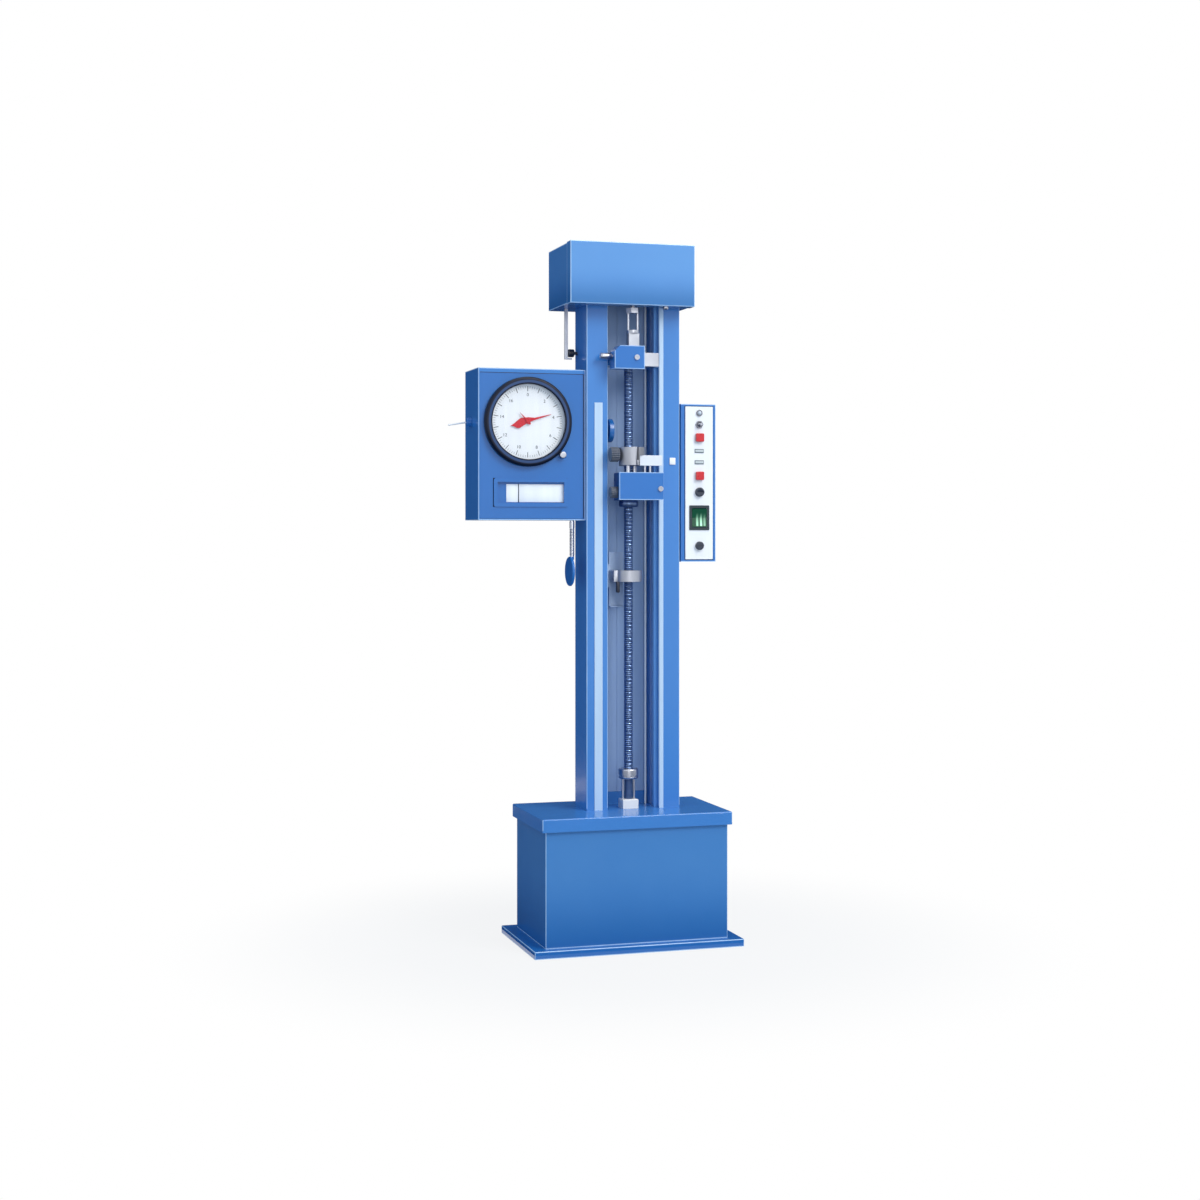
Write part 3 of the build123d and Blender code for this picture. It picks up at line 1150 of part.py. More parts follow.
def lock_bar():
    """Flat bar that hangs from the head and hooks under the lock knob."""
    y0, y1 = LOCK_Y - LOCK_BAR_THICK / 2, LOCK_Y + LOCK_BAR_THICK / 2
    low = LOCK_Z - BEAM_KNOB_RADIUS - LOCK_BAR_THICK - 2
    right = LOCK_BAR_LEFT + LOCK_BAR_WIDTH
    bar = slab(LOCK_BAR_LEFT, right, y0, y1, low, HEAD_BOTTOM + SHEET)
    foot_top = low + LOCK_BAR_THICK
    bar += slab(LOCK_BAR_LEFT, LOCK_BAR_LEFT + LOCK_FOOT_LENGTH, y0, y1, low, foot_top)
    return bar


def beam_lock_knob():
    """Black knob whose shaft enters the left post."""
    right = BEAM_KNOB_LEFT + BEAM_KNOB_LENGTH
    knob = bar_x(BEAM_KNOB_LEFT, right, LOCK_Y, LOCK_Z, BEAM_KNOB_RADIUS)
    knob = fillet(knob.edges().filter_by(GeomType.CIRCLE), 2.5)
    return knob + bar_x(right - 1, COLUMN_LEFT + UPRIGHT_WALL + 6, LOCK_Y, LOCK_Z, BEAM_KNOB_SHAFT)


# Control panel


def panel_housing():
    """Blue box on the right post, open in front behind the white plate."""
    y0, y1 = COLUMN_FRONT, COLUMN_FRONT + CONTROL_DEPTH
    box = slab(CONTROL_LEFT, CONTROL_RIGHT, y0, y1, CONTROL_BOTTOM, CONTROL_TOP)
    box = round_edges(box, Axis.Z, SHEET)
    wall = SHEET
    box -= slab(
        CONTROL_LEFT + wall, CONTROL_RIGHT - wall, y0 + wall, y1 - wall,
        CONTROL_BOTTOM + wall, CONTROL_TOP - wall,
    )
    inset = FACE_MARGIN + 6
    box -= slab(
        CONTROL_X - FACE_WIDTH / 2 + 6, CONTROL_X + FACE_WIDTH / 2 - 6, y0, y0 + wall,
        CONTROL_BOTTOM + inset, CONTROL_TOP - inset,
    )
    mid = (y0 + y1) / 2
    for spacer_z in (CONTROL_BOTTOM + CONTROL_HEIGHT / 5, CONTROL_TOP - CONTROL_HEIGHT / 5):
        box += bar_x(COLUMN_RIGHT, CONTROL_LEFT + 1, mid, spacer_z, 10)
    return box


def panel_face():
    """White control plate with its holes."""
    x0, x1 = CONTROL_X - FACE_WIDTH / 2, CONTROL_X + FACE_WIDTH / 2
    z0, z1 = CONTROL_BOTTOM + FACE_MARGIN, CONTROL_TOP - FACE_MARGIN
    plate = slab(x0, x1, FACE_FRONT, COLUMN_FRONT, z0, z1)
    plate = round_edges(plate, Axis.Y, 1.5)
    for hole_z in (UPPER_BUTTON_Z, LOWER_BUTTON_Z):
        half = BUTTON_SIZE / 2 - 2 + FREE_GAP
        plate -= slab(
            CONTROL_X - half, CONTROL_X + half, FACE_FRONT, COLUMN_FRONT, hole_z - half, hole_z + half
        )
    for hole_z in (SPEED_Z, FUSE_Z):
        plate -= bar_y(FACE_FRONT, COLUMN_FRONT, CONTROL_X, hole_z, 3 + RUN_FIT)
    plate -= bar_y(FACE_FRONT, COLUMN_FRONT, CONTROL_X, TOGGLE_Z, TOGGLE_HOLE)
    half_w = ROCKER_WIDTH / 2 - ROCKER_BORDER
    half_h = ROCKER_HEIGHT / 2 - ROCKER_BORDER
    return plate - slab(
        CONTROL_X - half_w, CONTROL_X + half_w, FACE_FRONT, COLUMN_FRONT, ROCKER_Z - half_h, ROCKER_Z + half_h
    )


def panel_bezels():
    """Lamp lens and ring, toggle nut and rocker frame on the plate."""
    lamp = bar_y(FACE_FRONT - 3, FACE_FRONT, CONTROL_X, LAMP_Z, LAMP_RADIUS)
    lens = Pos(CONTROL_X, FACE_FRONT - 3, LAMP_Z) * Sphere(LAMP_RADIUS * 0.55)
    lamp += lens & slab(
        CONTROL_X - LAMP_RADIUS, CONTROL_X + LAMP_RADIUS, FACE_FRONT - 9, FACE_FRONT - 3,
        LAMP_Z - LAMP_RADIUS, LAMP_Z + LAMP_RADIUS,
    )
    nut = extrude(RegularPolygon(TOGGLE_NUT_RADIUS, 6), 4)
    nut = Pos(CONTROL_X, FACE_FRONT, TOGGLE_Z) * Rot(90, 0, 0) * nut
    nut -= bar_y(FACE_FRONT - 5, FACE_FRONT, CONTROL_X, TOGGLE_Z, TOGGLE_HOLE)
    half_w, half_h = ROCKER_WIDTH / 2, ROCKER_HEIGHT / 2
    frame = slab(
        CONTROL_X - half_w, CONTROL_X + half_w, FACE_FRONT - ROCKER_RAISE, FACE_FRONT,
        ROCKER_Z - half_h, ROCKER_Z + half_h,
    )
    frame = round_edges(frame, Axis.Y, 2)
    frame -= slab(
        CONTROL_X - half_w + ROCKER_BORDER, CONTROL_X + half_w - ROCKER_BORDER,
        FACE_FRONT - ROCKER_RAISE, FACE_FRONT,
        ROCKER_Z - half_h + ROCKER_BORDER, ROCKER_Z + half_h - ROCKER_BORDER,
    )
    return Compound([lamp, nut, frame])


def toggle_lever():
    """Tapered toggle lever on its ball."""
    ball = Pos(CONTROL_X, FACE_FRONT + 1, TOGGLE_Z) * Sphere(TOGGLE_HOLE - SEAT_GAP)
    stem = Cone(TOGGLE_ROOT, TOGGLE_TIP, TOGGLE_LENGTH, align=(Align.CENTER, Align.CENTER, Align.MIN))
    return ball + Pos(CONTROL_X, FACE_FRONT - 1, TOGGLE_Z) * Rot(90, 0, 0) * stem


def push_button(z):
    """Square push button with its plunger."""
    half = BUTTON_SIZE / 2
    gap = BUTTON_STROKE + SEAT_GAP
    cap = slab(
        CONTROL_X - half, CONTROL_X + half, FACE_FRONT - gap - BUTTON_OUT, FACE_FRONT - gap, z - half, z + half
    )
    cap = round_edges(cap, Axis.Y, 3)
    cap = fillet(cap.faces().sort_by(Axis.Y)[0].edges(), 1.2)
    inner = half - 2
    return cap + slab(
        CONTROL_X - inner, CONTROL_X + inner, FACE_FRONT - gap - 1, COLUMN_FRONT + 12, z - inner, z + inner
    )


def start_button():
    """Upper red button."""
    return push_button(UPPER_BUTTON_Z)


def stop_button():
    """Lower red button."""
    return push_button(LOWER_BUTTON_Z)


def round_cap(z, radius):
    """Round black cap on a spindle."""
    front = FACE_FRONT - ROUND_CAP_OUT
    cap = bar_y(front, FACE_FRONT - SEAT_GAP, CONTROL_X, z, radius)
    cap = fillet(cap.faces().sort_by(Axis.Y)[0].edges(), 2)
    cap -= slab(CONTROL_X - radius * 0.7, CONTROL_X + radius * 0.7, front, front + 2, z - 1.2, z + 1.2)
    return cap + bar_y(FACE_FRONT - SEAT_GAP - 1, COLUMN_FRONT + 10, CONTROL_X, z, 3)


def speed_knob():
    """Round speed knob."""
    return round_cap(SPEED_Z, ROUND_CAP_RADIUS)


def fuse_cap():
    """Round cap of the fuse holder."""
    return round_cap(FUSE_Z, FUSE_CAP_RADIUS)


def power_rocker():
    """Green lit rocker with a shallow V face."""
    half_w = ROCKER_WIDTH / 2 - ROCKER_BORDER - FREE_GAP
    half_h = ROCKER_HEIGHT / 2 - ROCKER_BORDER - 1.5
    front = FACE_FRONT - ROCKER_RAISE - 1
    profile = Polyline(
        (FACE_FRONT + 4, -half_h), (front, -half_h), (front + 2, 0), (front - 1.5, half_h),
        (FACE_FRONT + 4, half_h), (FACE_FRONT + 4, -half_h),
    )
    side = Plane(origin=(CONTROL_X - half_w, 0, ROCKER_Z), x_dir=(0, 1, 0), z_dir=(1, 0, 0))
    return extrude(side * make_face(profile), 2 * half_w)


PIECES = (
    foot_plate, cabinet_shell, cabinet_lid, support_frame,
    drive_motor, motor_pulley, screw_pulley, drive_belt,
    bearing_block, bearing_ring, lead_screw, top_bridge,
    left_upright, right_upright, back_panel, front_strips, column_rails,
    head_shell, head_front_cover, top_beam, weighing_beam, load_tape,
    load_hanger, upper_grip_body, upper_fixed_jaw, upper_jaw, upper_clamp_screw,
    crosshead_block, crosshead_nut, nut_lock_knob, grip_posts,
    lower_grip_body, lower_jaw, lower_clamp_knob, index_bar,
    stop_carrier, stop_collar, pendulum_shaft, pendulum,
    gauge_housing, gauge_front_panel, dial_bezel, dial_glass,
    dial_face, dial_movement, load_pointer, peak_pointer, reset_knob, zero_knob,
    lock_bar, beam_lock_knob,
    panel_housing, panel_face, panel_bezels, toggle_lever, start_button, stop_button,
    speed_knob, fuse_cap, power_rocker,
)

os.makedirs("parts", exist_ok=True)
for make_piece in PIECES:
    export_step(make_piece(), "parts/" + make_piece.__name__ + ".step")
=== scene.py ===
"""Finishes, fine pieces and stage of a floor-standing textile tensile tester."""

import json
import math

import bmesh
import bpy
from bpy.props import FloatProperty, FloatVectorProperty, IntProperty, PointerProperty
from mathutils import Matrix, Vector


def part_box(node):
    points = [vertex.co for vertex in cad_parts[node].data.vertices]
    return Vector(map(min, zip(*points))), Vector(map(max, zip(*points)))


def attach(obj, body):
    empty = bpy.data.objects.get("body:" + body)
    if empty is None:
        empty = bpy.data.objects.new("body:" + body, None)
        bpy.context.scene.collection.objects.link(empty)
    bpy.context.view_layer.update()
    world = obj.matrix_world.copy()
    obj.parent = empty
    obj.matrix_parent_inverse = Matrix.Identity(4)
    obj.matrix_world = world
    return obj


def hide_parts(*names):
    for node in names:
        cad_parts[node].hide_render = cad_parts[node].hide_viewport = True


bl_info = {
    "name": "Textile tensile tester",
    "version": (1, 0, 0),
    "blender": (4, 5, 0),
    "location": "3D View > Sidebar > Tester",
    "description": "Finishes and fine pieces of a floor-standing tensile tester for cloth",
    "category": "Object",
}

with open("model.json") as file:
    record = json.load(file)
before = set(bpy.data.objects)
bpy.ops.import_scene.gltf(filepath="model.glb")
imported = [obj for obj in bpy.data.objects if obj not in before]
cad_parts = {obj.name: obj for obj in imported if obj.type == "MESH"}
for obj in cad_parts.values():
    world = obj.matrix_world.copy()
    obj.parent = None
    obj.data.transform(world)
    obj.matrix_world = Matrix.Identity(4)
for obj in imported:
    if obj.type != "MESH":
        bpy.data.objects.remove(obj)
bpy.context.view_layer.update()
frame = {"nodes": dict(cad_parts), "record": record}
NODE_BODY = {n: b for b, names in frame["record"]["behaviour"]["bodies"].items() for n in names}
NODE_SLOT = {s["node"]: s["material_slot"] for s in frame["record"]["subparts"]}
MM = 0.001

# Places of fine pieces, in mm

# piece, body, node, place to the right and up from the node's lower left corner
FRONT_SCREWS = (
    ("crosshead_screw", "crosshead", "crosshead_block", (111.0, 29.0)),
    ("grip_screw", "load_train", "upper_grip_body", (59.0, 30.0)),
)
SCREW_HEAD_HEIGHT = 4.0
# to the right of the node's left side, and in depth from the collar's front or the cover's back
STOP_SCREW_PLACE = (11.0, 24.0)
COVER_SCREW_PLACE = (262.0, 12.0)

BOB_HEIGHT = 76.0
ROD_INSET = 10.0
# above the bob
ROD_RINGS_SPAN = (5.0, 70.0)
ROD_RING_RADIUS = 5.5
ROD_BEAD_RADIUS = 1.1
WIRE_LEVER_LENGTH = 47.0

DIAL_RADIUS = 96.0
NUMERAL_INSET = 27.0
SCALE_NUMBERS = 18
# to the right and up from the arbor
HAND_OUTLINE = (
    (61.0, 20.2), (18.0, 10.6), (0.5, 11.5), (-19.0, 9.4), (-25.6, 4.2),
    (-36.5, -4.8), (-45.0, -10.4), (-36.5, -12.7), (-29.0, -16.5), (-21.8, -16.5),
    (-12.9, -10.4), (-2.6, -3.8), (18.0, 4.8), (61.0, 19.0),
)
HAND_THICKNESS = 1.2

# in the machine's own X and height; the split is from the card's left side
CARD_LEFT, CARD_RIGHT, CARD_BASE, CARD_TOP = -310.0, -157.0, 1136.0, 1182.0
CARD_SPLIT = (31.0, 33.0)
TRAY_DEPTH = 10.4
# across from the panel's or post's left side, and height above the floor
WINDOW_LEFT, WINDOW_RIGHT, WINDOW_BASE, WINDOW_TOP = 34.0, 230.0, 1124.0, 1197.0
INDEX_TILE_PLACE = (37.2, 1244.0)
INDEX_TILE_HALF = (8.0, 9.0)
LEGEND_HEIGHTS = (1271.5, 1242.0)
LAMP_HEIGHT = 1370.5
# across from the rocker's middle, and brightness
LAMP_BARS = ((-6.0, 0.75), (4.5, 1.0), (14.0, 0.45))

# Camera of the photograph: its picture, focal length and shift in pixels, its place in m
PICTURE_SIDE = 1200
FOCAL_LENGTH = 1930.2
HORIZON_SHIFT = -67.1
CAMERA_PLACE = (-1.5037, -4.7919, 1.0574)
VIEW_DIRECTION = (0.289, 0.957)
SENSOR_WIDTH = 36.0


# Sizes and colours


class TesterSizes(bpy.types.PropertyGroup):
    """Sizes of the fine pieces"""

    thread_pitch: FloatProperty(
        name="Thread pitch", description="Rise of the lead screw in one turn", default=0.005,
        unit="LENGTH",
    )
    thread_depth: FloatProperty(
        name="Thread depth", description="How far the thread stands out of its core", default=0.0018,
        unit="LENGTH",
    )
    minor_ticks: IntProperty(name="Minor ticks", description="Fine lines round the dial", default=90)
    major_ticks: IntProperty(name="Major ticks", description="Long lines round the dial", default=18)
    tick_length: FloatProperty(
        name="Tick length", description="Length of a long dial line", default=0.013, unit="LENGTH"
    )
    numeral_height: FloatProperty(
        name="Numeral height", description="Height of the dial's numbers", default=0.0115, unit="LENGTH"
    )
    screw_head: FloatProperty(
        name="Screw head radius", description="Radius of a socket head screw", default=0.0068,
        unit="LENGTH",
    )
    rod_rings: IntProperty(
        name="Rod rings", description="Rings turned on the pendulum rod", default=18
    )
    # Painted highlight: width of the light line painted along a folded edge of a housing.
    fold_glint: FloatProperty(
        name="Fold glint", description="Width of the worn light line along a folded edge",
        default=0.0028, unit="LENGTH",
    )
    # Painted sheen: colour added to the upper part of a tall housing where light falls on it.
    sheen_lift: FloatVectorProperty(
        name="Sheen", description="What the upper part of a tall housing gains in colour",
        default=(0.036, 0.050, -0.012),
    )
    peel_depth: FloatProperty(
        name="Enamel ripple", description="Depth of the ripple in the enamel", default=0.00004,
        unit="LENGTH",
    )


class TesterColours(bpy.types.PropertyGroup):
    """Colours of the finishes"""

    enamel: FloatVectorProperty(
        name="Enamel", description="Blue of the housings", subtype="COLOR", default=(0.016, 0.150, 0.480)
    )
    # Lighter copy of the housing blue for the head, lid and posts: partly their own paint, partly a
    # painted reflection of white on their front faces.
    pale_enamel: FloatVectorProperty(
        name="Pale enamel", description="Lighter blue of column and lid", subtype="COLOR",
        default=(0.048, 0.212, 0.570),
    )
    # Painted highlight: colour of the light line painted along folded edges and round the window.
    enamel_glint: FloatVectorProperty(
        name="Enamel edge", description="Light blue where folds catch light", subtype="COLOR",
        default=(0.50, 0.71, 0.95),
    )
    liner: FloatVectorProperty(
        name="Liner", description="Grey blue of the column's liner", subtype="COLOR",
        default=(0.27, 0.405, 0.64),
    )
    strip: FloatVectorProperty(
        name="Strips", description="Light ground strips on the posts", subtype="COLOR",
        default=(0.47, 0.62, 0.80),
    )
    white: FloatVectorProperty(
        name="White", description="White enamel", subtype="COLOR", default=(0.82, 0.85, 0.89)
    )
    nickel: FloatVectorProperty(
        name="Nickel", description="Bright plated steel", subtype="COLOR", default=(0.47, 0.51, 0.60)
    )
    steel: FloatVectorProperty(
        name="Oiled steel", description="Turned steel of the screw", subtype="COLOR",
        default=(0.17, 0.26, 0.46),
    )
    black: FloatVectorProperty(
        name="Black", description="Black moulding", subtype="COLOR", default=(0.012, 0.015, 0.025)
    )
    red: FloatVectorProperty(
        name="Red", description="Red buttons and hands", subtype="COLOR", default=(0.56, 0.012, 0.020)
    )
    green: FloatVectorProperty(
        name="Green", description="Green rocker lens", subtype="COLOR", default=(0.005, 0.065, 0.03)
    )


def sizes():
    return bpy.context.scene.tester_sizes


def colours():
    return bpy.context.scene.tester_colours


# Materials


def shaded(colour, share, lift=0.0):
    """The colour times a share, plus a lift."""
    return [min(1.0, c * share + lift) for c in colour]


class Value:
    """A number socket of a material that takes part in plain arithmetic."""

    def __init__(self, finish, socket):
        self.finish = finish
        self.socket = socket

    def math(self, operation, *terms):
        return self.finish.node("ShaderNodeMath", {"operation": operation}, dict(enumerate(terms)))

    def __add__(self, other):
        return self.math("ADD", self, other)

    def __radd__(self, other):
        return self.math("ADD", other, self)

    def __sub__(self, other):
        return self.math("SUBTRACT", self, other)

    def __rsub__(self, other):
        return self.math("SUBTRACT", other, self)

    def __mul__(self, other):
        return self.math("MULTIPLY", self, other)

    def __rmul__(self, other):
        return self.math("MULTIPLY", other, self)

    def __abs__(self):
        return self.math("ABSOLUTE", self)

    def root(self):
        return self.math("SQRT", self)

    def least(self, other):
        return self.math("MINIMUM", self, other)

    def most(self, other):
        return self.math("MAXIMUM", self, other)


class Finish:
    """A material while it is put together."""

    def __init__(self, name):
        self.material = bpy.data.materials.new(name)
        self.material.use_nodes = True
        self.tree = self.material.node_tree
        self.tree.nodes.clear()
        self.output = self.tree.nodes.new("ShaderNodeOutputMaterial")
        self.shader = self.tree.nodes.new("ShaderNodeBsdfPrincipled")
        self.tree.links.new(self.shader.outputs[0], self.output.inputs[0])
        self.axes = None

    def put(self, socket, value):
        if isinstance(value, Value):
            self.tree.links.new(value.socket, socket)
        elif hasattr(socket.default_value, "__len__") and len(socket.default_value) == 4:
            socket.default_value = (*value[:3], 1.0)
        else:
            socket.default_value = value

    def node(self, kind, settings=None, sockets=None, output=0):
        made = self.tree.nodes.new(kind)
        for name, value in (settings or {}).items():
            setattr(made, name, value)
        for name, value in (sockets or {}).items():
            self.put(made.inputs[name], value)
        return Value(self, made.outputs[output])

    def surface(self, **values):
        """Sets the shader's sockets; underscores stand for spaces."""
        for name, value in values.items():
            self.put(self.shader.inputs[name.replace("_", " ")], value)
        return self

    def place(self):
        """Place on the object as three numbers."""
        if self.axes is None:
            self.point = self.node("ShaderNodeTexCoord", output=3)
            split = self.node("ShaderNodeSeparateXYZ", sockets={0: self.point})
            outputs = split.socket.node.outputs
            self.axes = [Value(self, outputs[i]) for i in range(3)]
        return self.axes

    def noise(self, scale, detail=2.0, stretch=(1.0, 1.0, 1.0)):
        """Cloudy number from 0 to 1."""
        self.place()
        stretched = self.node(
            "ShaderNodeVectorMath", {"operation": "MULTIPLY"}, {0: self.point, 1: stretch}
        )
        return self.node(
            "ShaderNodeTexNoise", sockets={"Vector": stretched, "Scale": scale, "Detail": detail}
        )

    def step(self, value, start, end):
        """Smooth step from 0 at start to 1 at end."""
        return self.node(
            "ShaderNodeMapRange", {"interpolation_type": "SMOOTHSTEP"},
            {"Value": value, "From Min": start, "From Max": end, "To Min": 0.0, "To Max": 1.0},
        )

    def blend(self, factor, first, second):
        """Colour between two colours."""
        return self.node(
            "ShaderNodeMix", {"data_type": "RGBA"}, {0: factor, 6: first, 7: second}, output=2
        )

    def folds(self, low, high, width):
        """1 along the edges of a box and 0 away from them."""
        gaps = [(p - a).least(b - p) for p, a, b in zip(self.place(), low, high)]
        small, large = gaps[0].least(gaps[1]), gaps[0].most(gaps[1])
        second = small.most(large.least(gaps[2]))
        return 1.0 - self.step(second, width * 0.35, width)

    def relief(self, height, distance):
        """Normal from a height."""
        bump = self.node(
            "ShaderNodeBump", sockets={"Strength": 1.0, "Distance": distance, "Height": height}
        )
        return self.surface(Normal=bump)


def enamel(name, colour, node=None, glint=1.0, falloff=0.0, foot=True):
    """Glossy stoved enamel, with a painted highlight along the folds, and with painted shade towards the
    foot and a painted sheen over the upper part of a box-shaped node.
    """
    finish = Finish(name)
    cloud = finish.noise(5.0, 3.0)
    deep = shaded(colour, 0.93)
    pale = shaded(colour, 1.06, 0.004)
    paint = finish.blend(cloud, deep, pale)
    # Painted shade and sheen: the paint darkens towards the node's foot and lightens over its upper
    # part.
    if falloff:
        base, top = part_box(node)
        rise = finish.step(finish.place()[2], base.z, base.z + 0.65 * (top.z - base.z))
        light = [c + lift for c, lift in zip(pale, sizes().sheen_lift)]
        dark = [c * (1.0 - falloff * share) for c, share in zip(deep, (2.2, 1.0, 1.0))]
        paint = finish.blend(0.5 * rise + 0.5 * cloud * rise, finish.blend(rise, dark, paint), light)
    # Painted highlight: a light line along the edges of the node's box, stronger in places; with foot
    # off it stays clear of the bottom edge.
    if node:
        low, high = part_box(node)
        highlight = finish.folds(low, high, sizes().fold_glint) * (0.55 + 0.45 * finish.noise(22.0, 3.0))
        if not foot:
            highlight = highlight * finish.step(finish.place()[2], low.z + 3 * MM, low.z + 8 * MM)
        paint = finish.blend(highlight * glint, paint, colours().enamel_glint)
    peel = finish.noise(260.0, 2.0)
    finish.surface(Base_Color=paint, Roughness=0.20 + 0.08 * finish.noise(14.0, 4.0), IOR=1.5)
    finish.surface(Coat_Weight=0.25, Coat_Roughness=0.08)
    return finish.relief(peel, sizes().peel_depth)


def satin(name, colour, roughness=0.45):
    """Thin satin paint with faint vertical streaks."""
    finish = Finish(name)
    streak = finish.noise(60.0, 3.0, (1.0, 1.0, 0.05))
    finish.surface(
        Base_Color=finish.blend(streak, shaded(colour, 0.9), shaded(colour, 1.08)),
        Roughness=roughness + 0.1 * streak,
    )
    return finish.relief(finish.noise(420.0), 0.00002)


def metal(name, colour, roughness=0.22, stretch=(1.0, 1.0, 1.0), grain=900.0):
    """Plated or turned metal with fine grain and faint stains."""
    finish = Finish(name)
    stain = finish.noise(30.0, 4.0)
    lines = finish.noise(grain, 2.0, stretch)
    finish.surface(
        Base_Color=finish.blend(stain, shaded(colour, 0.80), shaded(colour, 1.12)),
        Metallic=1.0,
        Roughness=roughness + 0.16 * stain + 0.06 * lines,
    )
    return finish.relief(lines, 0.00002)


def moulding(name, colour, roughness=0.28):
    """Moulded plastic with a fine sparkle."""
    finish = Finish(name)
    cloud = finish.noise(90.0, 3.0)
    finish.surface(
        Base_Color=finish.blend(cloud, shaded(colour, 0.85), shaded(colour, 1.15, 0.003)),
        Roughness=roughness + 0.14 * cloud,
        Coat_Weight=0.2,
    )
    return finish.relief(finish.noise(700.0), 0.00003)


def two_tone(name, axis, start, first, second, metallic=(0.0, 0.0), roughness=(0.3, 0.3)):
    """One finish below a height along an axis and another above it."""
    finish = Finish(name)
    upper = finish.step(finish.place()[axis], start - 0.0002, start + 0.0002)
    cloud = finish.noise(30.0, 3.0)
    low = finish.blend(cloud, shaded(first, 0.88), shaded(first, 1.1))
    high = finish.blend(cloud, shaded(second, 0.88), shaded(second, 1.1))
    finish.surface(
        Base_Color=finish.blend(upper, low, high),
        Metallic=metallic[0] + (metallic[1] - metallic[0]) * upper,
        Roughness=roughness[0] + (roughness[1] - roughness[0]) * upper + 0.08 * cloud,
    )
    return finish.relief(finish.noise(600.0), 0.00002)


# Shapes


def keep(piece, body, slot_name, *nodes):
    """Lets a finished piece ride on its body."""
    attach(piece, body)
    if nodes:
        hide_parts(*nodes)
    return piece


def piece_from(shape, name, finish, smooth=32.0):
    """Object from a bmesh, smooth except over sharp edges."""
    mesh = bpy.data.meshes.new(name)
    shape.to_mesh(mesh)
    shape.free()
    for face in mesh.polygons:
        face.use_smooth = True
    mesh.set_sharp_from_angle(angle=math.radians(smooth))
    mesh.materials.append(finish.material)
    piece = bpy.data.objects.new(name, mesh)
    bpy.context.scene.collection.objects.link(piece)
    return piece


def plain_mesh(piece, name):
    """The piece with its modifiers worked in, as a new object without any."""
    bpy.context.view_layer.update()
    graph = bpy.context.evaluated_depsgraph_get()
    mesh = bpy.data.meshes.new_from_object(piece.evaluated_get(graph), depsgraph=graph)
    bpy.data.objects.remove(piece)
    mesh.name = name
    result = bpy.data.objects.new(name, mesh)
    bpy.context.scene.collection.objects.link(result)
    return result


def refined(node, finish, bevel=0.0):
    """Copy of a CAD node with joined faces, softened edges and smooth shading, in its place."""
    shape = bmesh.new()
    shape.from_mesh(frame["nodes"][node].data)
    bmesh.ops.remove_doubles(shape, verts=shape.verts, dist=2e-6)
    bmesh.ops.dissolve_limit(
        shape, angle_limit=math.radians(0.4), verts=shape.verts[:], edges=shape.edges[:]
    )
    piece = piece_from(shape, "fine_" + node, finish)
    if bevel:
        edge = piece.modifiers.new("edge", "BEVEL")
        edge.width = bevel
        edge.segments = 2
        edge.limit_method = "ANGLE"
        edge.angle_limit = math.radians(50)
        piece = plain_mesh(piece, "fine_" + node)
    return keep(piece, NODE_BODY[node], NODE_SLOT[node], node)


def dress(finish, *nodes):
    """Gives CAD nodes a finish."""
    for node in nodes:
        for place in frame["nodes"][node].material_slots:
            place.material = finish.material


def block(name, low, high, finish, body, slot_name, bevel=0.0005):
    """Small plate or bar between two corners, with rounded edges."""
    shape = bmesh.new()
    bmesh.ops.create_cube(shape, size=1.0)
    low, high = Vector(low), Vector(high)
    size = high - low
    shape.transform(Matrix.Translation((low + high) / 2) @ Matrix.Diagonal((*size, 1.0)))
    bmesh.ops.bevel(
        shape, geom=shape.edges[:], offset=min(bevel, min(size) * 0.45), segments=2, affect="EDGES",
        profile=0.5,
    )
    return keep(piece_from(shape, name, finish), body, slot_name)


def rim_ring(name, first, last, front, width, finish):
    """Thin rectangular line round a window in a front face, between two (x, z) corners."""
    shape = bmesh.new()
    rings = []
    for inset in (0.0, width):
        left, right = first[0] + inset, last[0] - inset
        low, high = first[1] + inset, last[1] - inset
        corners = ((left, low), (right, low), (right, high), (left, high))
        rings.append([shape.verts.new((x, front - 0.15 * MM, z)) for x, z in corners])
    for i in range(4):
        j = (i + 1) % 4
        shape.faces.new((rings[0][i], rings[0][j], rings[1][j], rings[1][i]))
    bmesh.ops.solidify(shape, geom=shape.faces[:], thickness=0.3 * MM)
    bmesh.ops.recalc_face_normals(shape, faces=shape.faces)
    return keep(piece_from(shape, name, finish), "base", "black_plastic")


def turned(name, centre, axis, profile, finish, body, slot_name, steps=40):
    """Lathe-turned piece: profile pairs are (distance along the axis, radius)."""
    shape = bmesh.new()
    rings = []
    for along, radius in profile:
        ring = []
        for i in range(steps):
            angle = 2 * math.pi * i / steps
            ring.append(shape.verts.new((radius * math.cos(angle), radius * math.sin(angle), along)))
        rings.append(ring)
    for lower, upper in zip(rings, rings[1:]):
        for i in range(steps):
            j = (i + 1) % steps
            shape.faces.new((lower[i], lower[j], upper[j], upper[i]))
    shape.faces.new(list(reversed(rings[0])))
    shape.faces.new(rings[-1])
    bmesh.ops.recalc_face_normals(shape, faces=shape.faces)
    turn = Vector((0, 0, 1)).rotation_difference(Vector(axis)).to_matrix().to_4x4()
    shape.transform(Matrix.Translation(centre) @ turn)
    return keep(piece_from(shape, name, finish), body, slot_name)


def cut_plate(name, outline, back, thick, finish):
    """Flat piece facing front, cut to an outline of (x, z) points."""
    shape = bmesh.new()
    front = [shape.verts.new((x, back - thick, z)) for x, z in outline]
    rear = [shape.verts.new((x, back, z)) for x, z in outline]
    count = len(outline)
    shape.faces.new(front)
    shape.faces.new(list(reversed(rear)))
    for i in range(count):
        j = (i + 1) % count
        shape.faces.new((front[j], front[i], rear[i], rear[j]))
    bmesh.ops.recalc_face_normals(shape, faces=shape.faces)
    return piece_from(shape, name, finish)


# Geometry node trees


